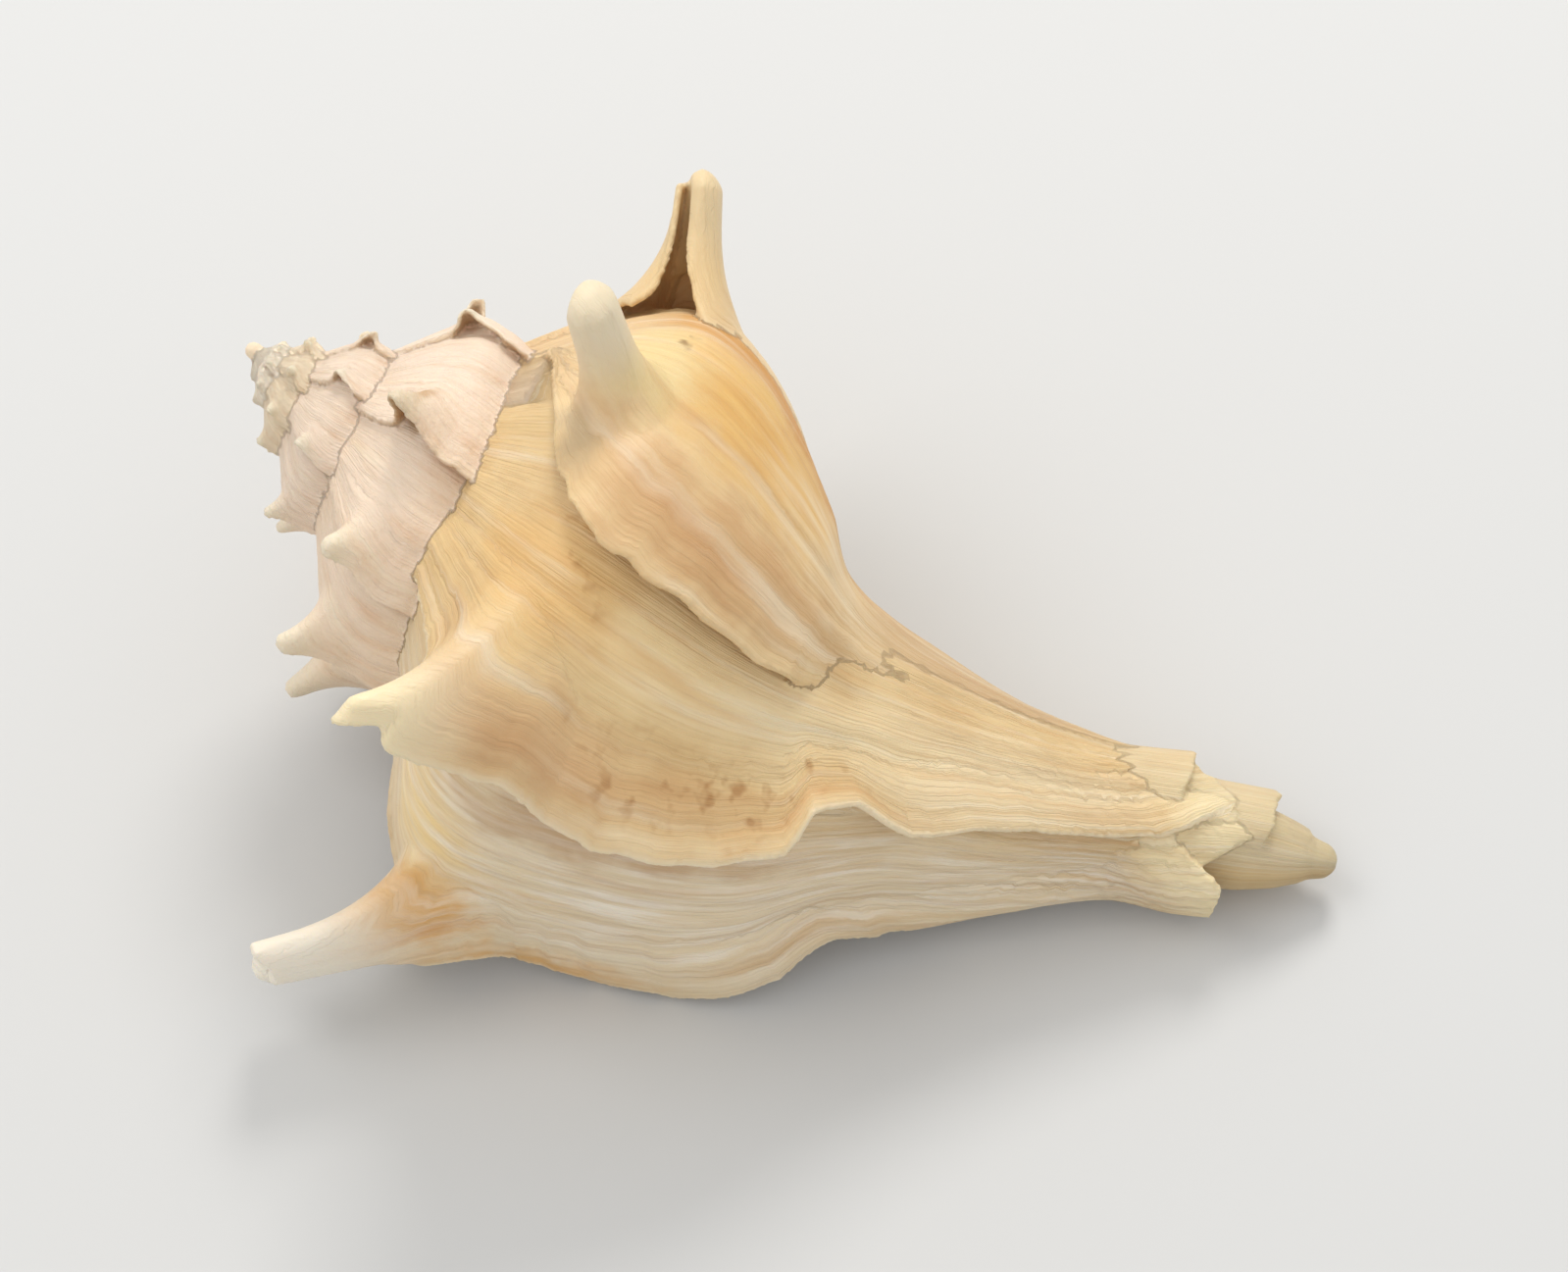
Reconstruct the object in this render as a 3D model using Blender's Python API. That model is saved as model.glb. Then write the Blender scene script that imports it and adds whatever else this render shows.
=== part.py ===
"""A murex shell with a row of open spines along its shoulder, as one solid piece of shell.

The shell is built the way it grows. A profile line runs from the suture, where a whorl meets the
one before, over the shoulder and down the body to the end of the siphonal canal. As it turns about
the shell's axis it gets bigger, and so it sweeps out the whorls. Every so often the animal paused
and flared its lip: each pause is a varix, a thin blade that stands off the whorl and is drawn out
into a hooded spine at the shoulder. The skin of the whorls turns inwards at the lip and runs back
as the wall of the room that the animal lived in. Whorls, blades and canal are fused into one
closed skin with a voxel Remesh, and the skin is thinned out to a few thousand triangles.

Shell frame: +X runs from the apex to the canal, the turn starts at +Y and goes towards +Z.
Lengths are millimetres until a mesh is made, which is in metres.
"""

import math

import bmesh
import bpy
import numpy as np
from mathutils import Matrix

MM = 0.001

# ---------------------------------------------------------------- driving dimensions

WHORL_GROWTH = 1.87  # each full turn is this many times bigger than the last
FIRST_ANGLE = -1980.0  # growth angle, in degrees, where the tiny first whorl starts
LIP_ANGLE = 174.0  # growth angle of the outer lip, where growth stopped
REST_DEGREES = (24.1, 18.7)  # turns about X, then Y, from the shell frame to how it rests

# The whorl's outline as (radius, distance from the apex) at thirteen places, at the growth angles of
# the last four varices: suture, ramp, shoulder, periphery, upper body, body, lower body, base,
# neck, canal, canal, canal, canal end.
OUTLINES = {
    0.0: ((13.6, 22.0), (19.4, 26.2), (24.6, 30.7), (28.0, 35.6), (27.9, 41.8), (24.9, 48.2),
          (19.9, 54.2), (14.7, 60.0), (12.9, 67.4), (12.0, 75.0), (9.8, 84.0), (8.2, 92.0),
          (7.2, 98.0)),
    60.0: ((15.0, 24.5), (21.6, 29.2), (27.2, 33.9), (29.7, 39.4), (28.8, 46.0), (25.5, 53.0),
           (20.9, 60.0), (16.0, 66.5), (13.3, 73.5), (11.2, 81.5), (9.2, 90.0), (7.6, 98.0),
           (7.2, 105.0)),
    122.0: ((16.5, 27.4), (23.6, 32.2), (30.2, 37.3), (32.4, 43.4), (31.0, 50.6), (27.4, 58.4),
            (22.4, 66.0), (17.0, 73.0), (13.0, 80.0), (10.2, 88.0), (8.2, 96.5), (6.8, 105.0),
            (5.2, 113.5)),
    178.0: ((18.2, 31.4), (25.4, 36.6), (32.2, 41.4), (34.2, 47.2), (32.4, 54.8), (29.6, 62.4),
            (25.4, 69.8), (16.8, 76.8), (12.0, 84.0), (8.6, 91.2), (6.5, 98.0), (6.5, 103.6),
            (6.3, 107.4)),
}
OUTLINE_ANGLES = tuple(OUTLINES)
OUTLINE_TABLE = np.log(np.array([OUTLINES[angle] for angle in OUTLINE_ANGLES]))
PLACES = OUTLINE_TABLE.shape[1]
CANAL_LAG = (0, 0, 0, 0, 0, 0, -2, -6, -12, -18, -26, -38, -56)  # degrees the lip trails there

CANAL_BEND = 22.6  # degrees that the canal turns aside, towards +Y
BEND_FROM, BEND_TO = 58.0, 92.0
DRIFT, DRIFT_AT, DRIFT_REACH = 0.9, 8.5, 6.5  # the first whorls stand aside from the axis
PILLAR_POINTS = 30
WALL = 2.3  # thickness of the shell at the lip's scale
ROOM_FROM = 0.7  # place along the outline where the room starts
ROOM_FLOOR = 0.9  # thickness of the room's floor over the whorl before, at the lip's scale
HOLLOW_FROM = -150.0  # growth angle where the room stops

BLADE = 1.6  # thickness of a varix's blade at the lip's scale
BACK_PLACES, BACK_DEGREES = (7, 9, 12), (26, 60, 100)  # how far back from its edge a blade starts
SWELL = 0.42  # share of a blade's flare that the whorl rises to before it
MOST_GROWN = 10.0  # degrees of growth that a blade's free edge shows

# The varices of the last turn, from the lip back. at: growth angle of the spine. edge: pairs of
# place and degrees that the blade's free edge reaches past that angle. flare: how high the blade
# stands off the whorl at each place; below zero it runs under the whorl's skin. place: where the
# spine stands. length, base and tip: of the spine, with its half widths. lean: towards the apex.
# steeper: how much steeper it is on the ramp's side. end: how far the tip is domed or, below zero,
# hollow. bow and sides: how the spine curves up from its foot. reach: how far back its foot runs.
# cut: the height it is broken off at, and how that slants across it.
NEWEST = [
    dict(at=172.0, edge=((0, 0), (1.6, 2), (2, 10), (2.6, 10), (2.8, 5), (3, 10), (3.4, 5), (3.7, 5),
                         (4.1, 9), (5.5, 10), (6, 6.5), (6.2, 7), (6.45, 3), (7, 3), (7.2, 8),
                         (7.5, 8), (8, 20), (9, 28), (10, 36), (11, 50), (12, 60)),
         flare=(0.3, 0.4, 1.4, 2.6, 2.6, 2.4, 2.4, 1.4, 0.8, 0.6, 0.6, 0.8, 0.8),
         place=2.8, length=18.2, base=8.4, tip=1.9, lean=34.7, steeper=2.2, end=-0.10,
         bow=0.42, sides=1.25, reach=1.25, cut=(1.2, 0.0)),
    dict(at=119.0, edge=((0, 0), (1.6, 0.5), (2, 1), (2.3, 0.8), (2.5, -0.8), (2.7, 1.5), (3.1, 2.2),
                         (3.4, 3.2), (3.7, 5.8), (4, 7), (4.5, 7.8), (5.5, 6.2), (6, 3.2),
                         (6.25, 3), (6.45, -6), (7, -7.8), (7.3, -3), (7.7, 3.5), (8, 4),
                         (8.5, 2), (9, 2.2), (10, 7), (10.5, 9), (11, 4), (12, -13)),
         flare=(0.3, 0.4, 1.6, 3.6, 4.2, 4.4, 4.4, 4.0, 3.0, 2.0, 1.0, 0.2, 0.0),
         place=2.4, length=16.5, base=9.0, tip=0.9, lean=28.5, steeper=1.6, end=0.0,
         bow=0.55, sides=1.35, reach=1.5, cut=(0.84, -0.26)),
    dict(at=56.0, edge=((0, -30), (0.62, -30), (0.7, -24), (0.8, -17), (0.95, -8), (1.1, -1),
                        (1.3, 5), (1.55, 10), (1.75, 14), (2.05, 18.5), (2.35, 22), (2.65, 24),
                        (3, 26), (3.3, 28), (4.5, 28.3), (5.5, 30), (6.5, 29.5), (7, 25), (12, 10)),
         flare=(0.3, 0.4, 1.4, 2.6, 3.0, 3.4, 3.0, -0.6, -1.4, -1.4, -1.4, -1.4, -1.4),
         place=2.05, length=11.4, base=6.0, tip=1.9, lean=28.5, steeper=2.2, end=0.12,
         bow=0.42, sides=1.35, reach=0.95, cut=(1.2, 0.0)),
    dict(at=4.0, edge=((0, 0), (1.3, 4), (1.5, 5), (1.65, 8), (1.8, 12), (2, 12), (2.1, 10),
                       (2.17, 7), (2.25, 1), (2.32, -4), (2.42, -6), (2.47, 8), (2.66, 12),
                       (3, 16), (4, 10), (12, 0)),
         flare=(0.1, 0.2, 0.8, -0.6, -1.4, -1.4, -1.4, -1.4, -1.4, -1.4, -1.4, -1.4, -1.4),
         place=2.5, length=12.0, base=6.4, tip=1.5, lean=23.0, steeper=0.9, end=0.10,
         bow=0.42, sides=1.25, reach=1.25, cut=(1.2, 0.0)),
]
# Older varices, sized by the whorl they stand on, as rows of angle, length and lean.
OLD = dict(flare=(0.3, 0.4, 1.2, 2.0, 2.4, 2.4, 2.2, 2.0, 1.4, 1.0, 0.8, 0.6, 0.4),
           edge=((0, 2), (1.6, 4), (2, 9), (3, 9), (5, 6), (10, 6), (12, 0)),
           place=2.4, base=7.6, tip=0.9, steeper=1.4, end=0.05,
           bow=0.62, sides=1.6, reach=1.45, cut=(0.93, 0.0))
OLDER = ((-52, 9, 30), (-98, 9, 30), (-140, 13, 8), (-162, 14.5, 20), (-200, 10.4, 32),
         (-237, 7.5, 34), (-281, 11.3, 32), (-336, 4.6, 46), (-385, 14, 14), (-429, 9, 30),
         (-473, 9, 30), (-517, 10.5, 25), (-556, 8, 32), (-606, 5, 32), (-652, 4.5, 30),
         (-693, 9, -15), (-737, 8, 20), (-781, 8, 20), (-825, 9, 28), (-869, 11, 15))
OLD_SPACING = 44.0
OLD_LENGTH, OLD_LEAN = 8.5, 20.0

# Worn steps of the canal, each the end of an older canal: from, to, radius at both, middle, half.
COLLARS = ((94.0, 105.2, 7.3, 8.2, 0.0, 75.0), (103.5, 114.6, 5.9, 6.0, 10.0, 80.0),
           (114.0, 118.5, 3.9, 2.8, 10.0, 100.0))
COLLAR_WALL = 1.3
PILLAR_AXIAL = (92, 98, 104, 108, 112, 115.6, 118.3, 118.6, 120.6, 121.4)
PILLAR_RADIUS = (1.0, 2.0, 4.4, 5.0, 4.6, 3.7, 2.6, 2.2, 1.7, 0.8)
APEX_RADIUS = 0.95

PLACE_STEP, TURN_STEP = 0.12, 3.0  # spacing of the whorls' points, in places and degrees
BLADE_STEP, BLADE_ROWS = 0.20, 44
FUSE_VOXEL = 0.70
MOST_TRIANGLES = 9400


# ---------------------------------------------------------------- the growing surface

def smooth_rows(places):
    """Catmull-Rom weights of the outline's named places for each value in places."""
    places = np.clip(np.asarray(places, float), 0, PLACES - 1 - 1e-9)
    start = places.astype(int)
    t = places - start
    rows = np.zeros((len(places), PLACES))
    shares = (
        (-1, (-t + 2 * t**2 - t**3) / 2), (0, (2 - 5 * t**2 + 3 * t**3) / 2),
        (1, (t + 4 * t**2 - 3 * t**3) / 2), (2, (-t**2 + t**3) / 2),
    )
    index = np.arange(len(places))
    for step, share in shares:
        at = start + step
        low, high = at < 0, at > PLACES - 1
        inside = ~low & ~high
        np.add.at(rows, (index[inside], at[inside]), share[inside])
        # past an end, the outline runs on straight
        np.add.at(rows, (index[low], 0 * at[low]), 2 * share[low])
        np.add.at(rows, (index[low], 0 * at[low] + 1), -share[low])
        np.add.at(rows, (index[high], 0 * at[high] + PLACES - 1), 2 * share[high])
        np.add.at(rows, (index[high], 0 * at[high] + PLACES - 2), -share[high])
    return rows


def nodes_at(angles):
    """The outline's places at each growth angle, as angles x places x (radius, axial)."""
    angles = np.asarray(angles, float)
    held = np.clip(angles, OUTLINE_ANGLES[0], OUTLINE_ANGLES[-1])
    above = np.clip(np.searchsorted(OUTLINE_ANGLES, held), 1, len(OUTLINE_ANGLES) - 1)
    low = np.take(OUTLINE_ANGLES, above - 1)
    share = ((held - low) / (np.take(OUTLINE_ANGLES, above) - low))[:, None, None]
    nodes = np.exp(OUTLINE_TABLE[above - 1] * (1 - share) + OUTLINE_TABLE[above] * share)
    return nodes * (WHORL_GROWTH ** ((angles - held) / 360))[:, None, None]


def size_at(angles):
    """How big the whorl's shoulder is at each growth angle, against the lip's."""
    return nodes_at(np.ravel(angles))[:, 2, 0] / OUTLINES[178.0][2][0]


def outline(angles, places):
    """Points and outward normals of the whorl in its radial plane, each angles x places x 2."""
    nodes = nodes_at(angles)
    at = smooth_rows(places)
    step = 0.02
    ahead = smooth_rows(np.minimum(np.asarray(places) + step, PLACES - 1.001))
    behind = smooth_rows(np.maximum(np.asarray(places) - step, 0))
    points = np.einsum("pn,anc->apc", at, nodes)
    along = np.einsum("pn,anc->apc", ahead - behind, nodes)
    along /= np.linalg.norm(along, axis=2, keepdims=True)
    return points, np.stack([along[..., 1], -along[..., 0]], axis=2)


def lag_at(places):
    return np.interp(places, range(PLACES), CANAL_LAG)


def bent(points):
    """The canal turned aside: points beyond BEND_FROM follow an arc, and then a straight line."""
    x = points[..., 0]
    turn = math.radians(CANAL_BEND)
    span = BEND_TO - BEND_FROM
    into = np.clip(x - BEND_FROM, 0, span)
    beyond = np.clip(x - BEND_TO, 0, None)
    angle = turn * into / span
    radius = span / turn
    axis_x = np.minimum(x, BEND_FROM) + radius * np.sin(angle) + beyond * math.cos(turn)
    axis_y = radius * (1 - np.cos(angle)) + beyond * math.sin(turn)
    y = points[..., 1] - DRIFT * np.exp(-((x - DRIFT_AT) / DRIFT_REACH) ** 2)
    out = points.copy()
    out[..., 0] = axis_x - y * np.sin(angle)
    out[..., 1] = axis_y + y * np.cos(angle)
    return out


def turned(radial, axial, degrees):
    """Shell-frame points from radius, axial place and turn."""
    turn = np.radians(degrees)
    return np.stack([axial, radial * np.cos(turn), radial * np.sin(turn)], axis=-1)


# ---------------------------------------------------------------- varices

def varices():
    """Every varix from the apex to the lip."""
    found = list(NEWEST)
    old = list(OLDER)
    while old[-1][0] > FIRST_ANGLE + 400:
        old.append((old[-1][0] - OLD_SPACING, OLD_LENGTH, OLD_LEAN))
    for angle, length, lean in old:
        size = float(size_at(angle)[0])
        varix = dict(OLD, at=float(angle), length=length * size, lean=lean)
        varix["base"] *= size
        varix["tip"] *= size
        varix["flare"] = tuple(size * rise for rise in OLD["flare"])
        found.append(varix)
    return sorted(found, key=lambda varix: varix["at"])


def swell(all_varices, angles, places):
    """Height of each stretch of whorl above its start, which rises towards the next blade."""
    edges = np.array([varix["at"] for varix in all_varices])
    which = np.clip(np.searchsorted(edges, angles), 1, len(edges) - 1)
    high, low = edges[which], edges[which - 1]
    phase = np.clip((angles - low) / (high - low), 0, 1)[:, None]
    flares = np.array([np.interp(places, range(PLACES), np.maximum(varix["flare"], 0))
                       for varix in all_varices])
    return SWELL * flares[which] * phase**2 * np.clip((1 - phase) / 0.06, 0, 1)


def blade_places(last_turn, end):
    """Places of a blade's columns, close together over the spine."""
    near = np.arange(0.15, min(4.0, end), 0.36 * BLADE_STEP)
    far = np.arange(4.0, end, (1.6 if last_turn else 1.0) * BLADE_STEP)
    return np.concatenate([near, far, [end]])


def spine_height(varix, arc, behind):
    """Height of the spine's hood over the blade, by distance from its centre line."""
    base, length = varix["base"], varix["length"]
    spread = np.sqrt((arc / base) ** 2 + (behind / (base * varix["reach"])) ** 2)
    thin = varix["tip"] / base
    x = np.clip((spread - thin) / (1 - thin), 0, 1)
    height = (1 - x ** varix["bow"]) ** varix["sides"]
    height = height + varix["end"] * np.clip(1 - (spread / thin) ** 2, 0, 1)
    level, slope = varix["cut"]
    return length * np.minimum(height, level + slope * np.tanh(arc / (0.25 * base)))


def blade(varix):
    """One varix as a closed thin sheet: (points, faces)."""
    angle = varix["at"]
    size = float(size_at(angle)[0])
    last_turn = angle > LIP_ANGLE - 360 - 12
    end = PLACES - 1.001 if last_turn else 4.9
    places = blade_places(last_turn, end)
    back = np.interp(places, BACK_PLACES, BACK_DEGREES)[None, :]
    edge = varix["edge"]
    over = np.interp(places, [pair[0] for pair in edge], [pair[1] for pair in edge])[None, :]
    q = np.linspace(0, 1, BLADE_ROWS)[:, None]
    theta = angle + over - (back + over) * (1 - q)
    points, normals = outline([angle], places)
    points, normals = points[0], normals[0]
    ratio = WHORL_GROWTH ** (np.minimum(theta - angle, MOST_GROWN) / 360)
    radial, axial = points[None, :, 0] * ratio, points[None, :, 1] * ratio
    # the blade starts under the whorl's skin and rises to its flare; the canal's end is a tube
    fade = np.ones_like(places) if last_turn else np.clip((end - places) / 0.6, 0, 1)
    flare = (np.interp(places, range(PLACES), varix["flare"]) * fade)[None, :]
    tube_end = np.clip((places - 10.6) / 1.2, 0, 1)[None, :] * last_turn
    lift = -0.9 * size * (1 - q) ** 2 + flare * q ** 2.2
    lift = lift * (1 - tube_end) + flare * tube_end
    radial = radial + lift * normals[None, :, 0]
    axial = axial + lift * normals[None, :, 1]
    arc = np.concatenate([[0], np.cumsum(np.linalg.norm(np.diff(points, axis=0), axis=1))])
    arc -= np.interp(varix["place"], places, arc)
    arc *= np.where(arc < 0, varix["steeper"], 0.9)
    behind = np.radians(angle - theta) * np.interp(varix["place"], places, points[:, 0])
    height = spine_height(varix, arc[None, :], behind)
    lean = math.radians(varix["lean"])
    radial = radial + height * math.cos(lean)
    axial = axial - height * math.sin(lean) * (0.6 + 0.4 * height / varix["length"])
    top = turned(radial, axial, theta + lag_at(places)[None, :])
    normal = np.cross(np.gradient(top, axis=1), np.gradient(top, axis=0))
    normal /= np.linalg.norm(normal, axis=2, keepdims=True) + 1e-12
    under = top - normal * BLADE * max(size, 0.25) ** 0.5
    return closed_sheet(bent(top), bent(under))


def closed_sheet(top, under):
    """Two matching grids of points joined all round into one closed skin."""
    rows, columns = top.shape[:2]
    index = np.arange(rows * columns).reshape(rows, columns)
    quads = np.stack([index[:-1, :-1], index[:-1, 1:], index[1:, 1:], index[1:, :-1]], -1)
    quads = quads.reshape(-1, 4)
    shift = rows * columns
    rim = np.concatenate([index[0, :-1], index[:-1, -1], index[-1, :0:-1], index[:0:-1, 0]])
    after = np.roll(rim, -1)
    sides = np.stack([after, rim, rim + shift, after + shift], 1)
    points = np.concatenate([top.reshape(-1, 3), under.reshape(-1, 3)])
    return points, np.concatenate([quads, quads[:, ::-1] + shift, sides]).tolist()


# ---------------------------------------------------------------- whorls, canal, apex

def whorls(all_varices):
    """The coiled body and the room inside it, as one skin that overlaps itself turn on turn.

    The rings grow from the apex to the lip, step in across the thickness of the lip, and go back
    inside as the room the animal lived in."""
    places = np.append(np.arange(0, PLACES - 1, PLACE_STEP), PLACES - 1.001)
    angles = np.append(np.arange(FIRST_ANGLE, LIP_ANGLE, TURN_STEP), LIP_ANGLE)
    points, normals = outline(angles, places)
    points = points + normals * swell(all_varices, angles, places)[..., None]
    skin = turned(points[..., 0], points[..., 1], angles[:, None] + lag_at(places)[None, :])
    # a line along the axis closes each section
    share = np.linspace(1, 0, PILLAR_POINTS)[None, :]
    axial = points[:, :1, 1] + (points[:, -1:, 1] - points[:, :1, 1]) * share
    middle = turned(0.05 + 0 * axial, axial, angles[:, None] + 0 * axial)
    rings = np.concatenate([skin, middle], axis=1)
    inward = np.arange(LIP_ANGLE, HOLLOW_FROM, -TURN_STEP * 2)
    return tube(bent(np.concatenate([rings, room(inward, len(places))])))


def room(angles, outer_count):
    """Sections of the hollow: outside, just within the shell; inside, over the last whorl."""
    size = size_at(angles)[:, None]
    end = np.interp(angles, (90, 172), (8.0, 12.0))
    along = ROOM_FROM + (end[:, None] - ROOM_FROM) * np.linspace(0, 1, outer_count)[None, :]
    fixed = np.linspace(ROOM_FROM, 12.0, 400)
    points, normals = outline(angles, fixed)
    wall = np.interp(fixed, (0, 7, 9, 12), (WALL, WALL, 2.0, 1.7))[None, :] * size
    walls = points - normals * wall[..., None]
    outer = np.stack([
        np.stack([np.interp(row, fixed, line[:, axis]) for row, line in zip(along, walls)])
        for axis in (0, 1)], axis=-1)
    inner = []
    for place in np.linspace(5.0, 11.9, PILLAR_POINTS - 8):
        at, out = outline(angles - 360 - lag_at(place), [place])
        inner.append(at[:, 0] + out[:, 0] * ROOM_FLOOR * size)
    last = inner[-1]
    corner = np.stack([2.4 * size[:, 0], outer[:, -1, 1]], axis=-1)
    inner += [last + (corner - last) * part for part in np.linspace(0, 1, 9)[1:]]
    inner = np.stack(inner[::-1], axis=1)
    lag_out = lag_at(along)
    lag_in = np.stack([np.interp(i[:, 1], o[:, 1], lag)
                       for i, o, lag in zip(inner, outer, lag_out)])
    ring = np.concatenate([outer, inner], axis=1)
    lag = np.concatenate([lag_out, lag_in], axis=1)
    return turned(ring[..., 0], ring[..., 1], angles[:, None] + lag)


def tube(sections):
    """Closed rings joined in a row, with a flat cap at each end: (points, faces)."""
    rows, columns = sections.shape[:2]
    index = np.arange(rows * columns).reshape(rows, columns)
    after = np.roll(index, -1, axis=1)
    quads = np.stack([index[:-1], after[:-1], after[1:], index[1:]], axis=2).reshape(-1, 4)
    centres = np.stack([sections[0].mean(0), sections[-1].mean(0)])
    first, last = rows * columns, rows * columns + 1
    start = np.stack([after[0], index[0], np.full(columns, first)], 1)
    end = np.stack([index[-1], after[-1], np.full(columns, last)], 1)
    points = np.concatenate([sections.reshape(-1, 3), centres])
    return points, [*quads.tolist(), *start.tolist(), *end.tolist()]


def canal():
    """The pillar that the canal's last stages are built round, from the body to the tip."""
    fine = np.linspace(PILLAR_AXIAL[0], PILLAR_AXIAL[-1], 60)
    wide = np.interp(fine, PILLAR_AXIAL, PILLAR_RADIUS)
    around = np.arange(0, 360, 15.0)
    rings = turned(wide[:, None] + 0 * around, fine[:, None] + 0 * around, around[None, :])
    return tube(bent(rings))


def collar(x_from, x_to, r_from, r_to, middle, half):
    """The worn end of an older canal, as a sheet part of the way round the pillar."""
    share = np.linspace(0, 1, 20)[:, None]
    across = np.linspace(-1, 1, 50)[None, :]
    axial = x_from + (x_to - 1.6 * across**4 - x_from) * share
    radial = r_from + (r_to - r_from) * share**1.5 - 1.6 * across**6
    degrees = middle + half * across + 0 * share
    top = turned(radial, axial, degrees)
    under = turned(radial - COLLAR_WALL, axial - 0.2 * share, degrees)
    return closed_sheet(bent(top), bent(under))


def first_whorl():
    """The rounded tip of the spire."""
    along = np.radians(np.arange(0.5, 180, 20))
    around = np.arange(0, 360, 30.0)
    radial = APEX_RADIUS * np.sin(along)[:, None] + 0 * around
    axial = 0.5 - APEX_RADIUS * np.cos(along)[:, None] + 0 * around
    return tube(turned(radial, axial, around[None, :]))


# ---------------------------------------------------------------- objects

def mesh_object(name, points, faces):
    mesh = bpy.data.meshes.new(name)
    mesh.from_pydata((points * MM).tolist(), [], faces)
    shape = bmesh.new()
    shape.from_mesh(mesh)
    if shape.calc_volume(signed=True) < 0:
        bmesh.ops.reverse_faces(shape, faces=shape.faces)
    shape.to_mesh(mesh)
    shape.free()
    obj = bpy.data.objects.new(name, mesh)
    bpy.context.scene.collection.objects.link(obj)
    return obj


def joined(objects, name):
    bpy.ops.object.select_all(action="DESELECT")
    for obj in objects:
        obj.select_set(True)
    bpy.context.view_layer.objects.active = objects[0]
    bpy.ops.object.transform_apply(location=True, rotation=True, scale=True)
    bpy.ops.object.join()
    objects[0].name = name
    return objects[0]


def apply(obj, kind, **settings):
    modifier = obj.modifiers.new(kind.title(), kind)
    for name, value in settings.items():
        setattr(modifier, name, value)
    bpy.context.view_layer.objects.active = obj
    bpy.ops.object.modifier_apply(modifier=modifier.name)


def keep_largest(obj):
    """Drops every loose scrap of skin but the biggest."""
    mesh = bmesh.new()
    mesh.from_mesh(obj.data)
    left = set(mesh.verts)
    best = set()
    while left:
        queue = [left.pop()]
        island = set(queue)
        while queue:
            for edge in queue.pop().link_edges:
                for vert in edge.verts:
                    if vert not in island:
                        island.add(vert)
                        left.discard(vert)
                        queue.append(vert)
        best = max(best, island, key=len)
    bmesh.ops.delete(mesh, geom=[v for v in mesh.verts if v not in best], context="VERTS")
    mesh.to_mesh(obj.data)
    mesh.free()


def rest_turn():
    """The turn from the shell frame to how the shell lies on a table, aperture down."""
    turn = Matrix.Rotation(math.radians(REST_DEGREES[0]), 4, "X")
    return Matrix.Rotation(math.radians(REST_DEGREES[1]), 4, "Y") @ turn


def set_down(obj):
    """Puts the middle of the shell's footprint at the origin, with its lowest point on z = 0."""
    points = np.empty(len(obj.data.vertices) * 3)
    obj.data.vertices.foreach_get("co", points)
    points = points.reshape(-1, 3)
    low, high = points.min(0), points.max(0)
    shift = (-(low[0] + high[0]) / 2, -(low[1] + high[1]) / 2, -low[2])
    obj.data.transform(Matrix.Translation(shift))
    print("set down by", [round(float(value), 6) for value in shift])


def shell_material():
    material = bpy.data.materials.new("shell")
    material.use_nodes = True
    bsdf = material.node_tree.nodes["Principled BSDF"]
    bsdf.inputs["Base Color"].default_value = (0.78, 0.62, 0.42, 1.0)
    bsdf.inputs["Roughness"].default_value = 0.5
    return material


def main():
    for obj in list(bpy.data.objects):
        bpy.data.objects.remove(obj)
    all_varices = varices()
    parts = [
        mesh_object("whorls", *whorls(all_varices)),
        mesh_object("canal", *canal()),
        mesh_object("first_whorl", *first_whorl()),
    ]
    parts += [mesh_object("blade", *blade(varix)) for varix in all_varices]
    parts += [mesh_object("collar", *collar(*numbers)) for numbers in COLLARS]
    shell = joined(parts, "murex_shell")
    apply(shell, "REMESH", mode="VOXEL", voxel_size=FUSE_VOXEL * MM, adaptivity=0.0)
    keep_largest(shell)
    shell.data.transform(rest_turn())
    apply(shell, "TRIANGULATE")
    apply(shell, "DECIMATE", ratio=MOST_TRIANGLES / len(shell.data.polygons))
    keep_largest(shell)
    set_down(shell)
    shell.data.materials.append(shell_material())
    print("murex_shell", len(shell.data.polygons), "triangles")


main()
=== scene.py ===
# %% [markdown]
# # A murex shell, grown the way the snail grew it
# This shell lies on a table with its mouth underneath, so its back is seen from above. The animal
# added a little shell at its lip every few days. It kept the same outline all its life and only
# made it bigger, which is why a coil comes out.
#
# The lesson builds the shell in the same order: the coil first, then the blades where the animal
# rested, then the canal. Everything is fused into one skin and given the colours of old shell.

# %% Load the frame
import math
import bmesh
import bpy
import numpy as np
from mathutils import Matrix, Vector
from mathutils.bvhtree import BVHTree


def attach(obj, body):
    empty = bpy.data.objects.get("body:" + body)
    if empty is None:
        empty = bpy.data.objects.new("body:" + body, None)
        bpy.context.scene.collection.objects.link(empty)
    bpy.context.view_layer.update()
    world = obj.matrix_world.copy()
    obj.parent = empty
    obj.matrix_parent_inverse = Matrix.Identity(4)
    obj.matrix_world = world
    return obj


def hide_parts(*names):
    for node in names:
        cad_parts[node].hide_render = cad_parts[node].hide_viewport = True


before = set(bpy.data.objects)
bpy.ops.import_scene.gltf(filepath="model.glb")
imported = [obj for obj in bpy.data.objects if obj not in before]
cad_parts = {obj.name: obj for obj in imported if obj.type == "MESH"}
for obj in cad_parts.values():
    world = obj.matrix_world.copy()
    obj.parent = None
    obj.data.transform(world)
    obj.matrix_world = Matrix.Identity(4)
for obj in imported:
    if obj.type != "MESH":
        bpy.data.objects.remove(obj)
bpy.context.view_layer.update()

MM = 0.001

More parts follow.
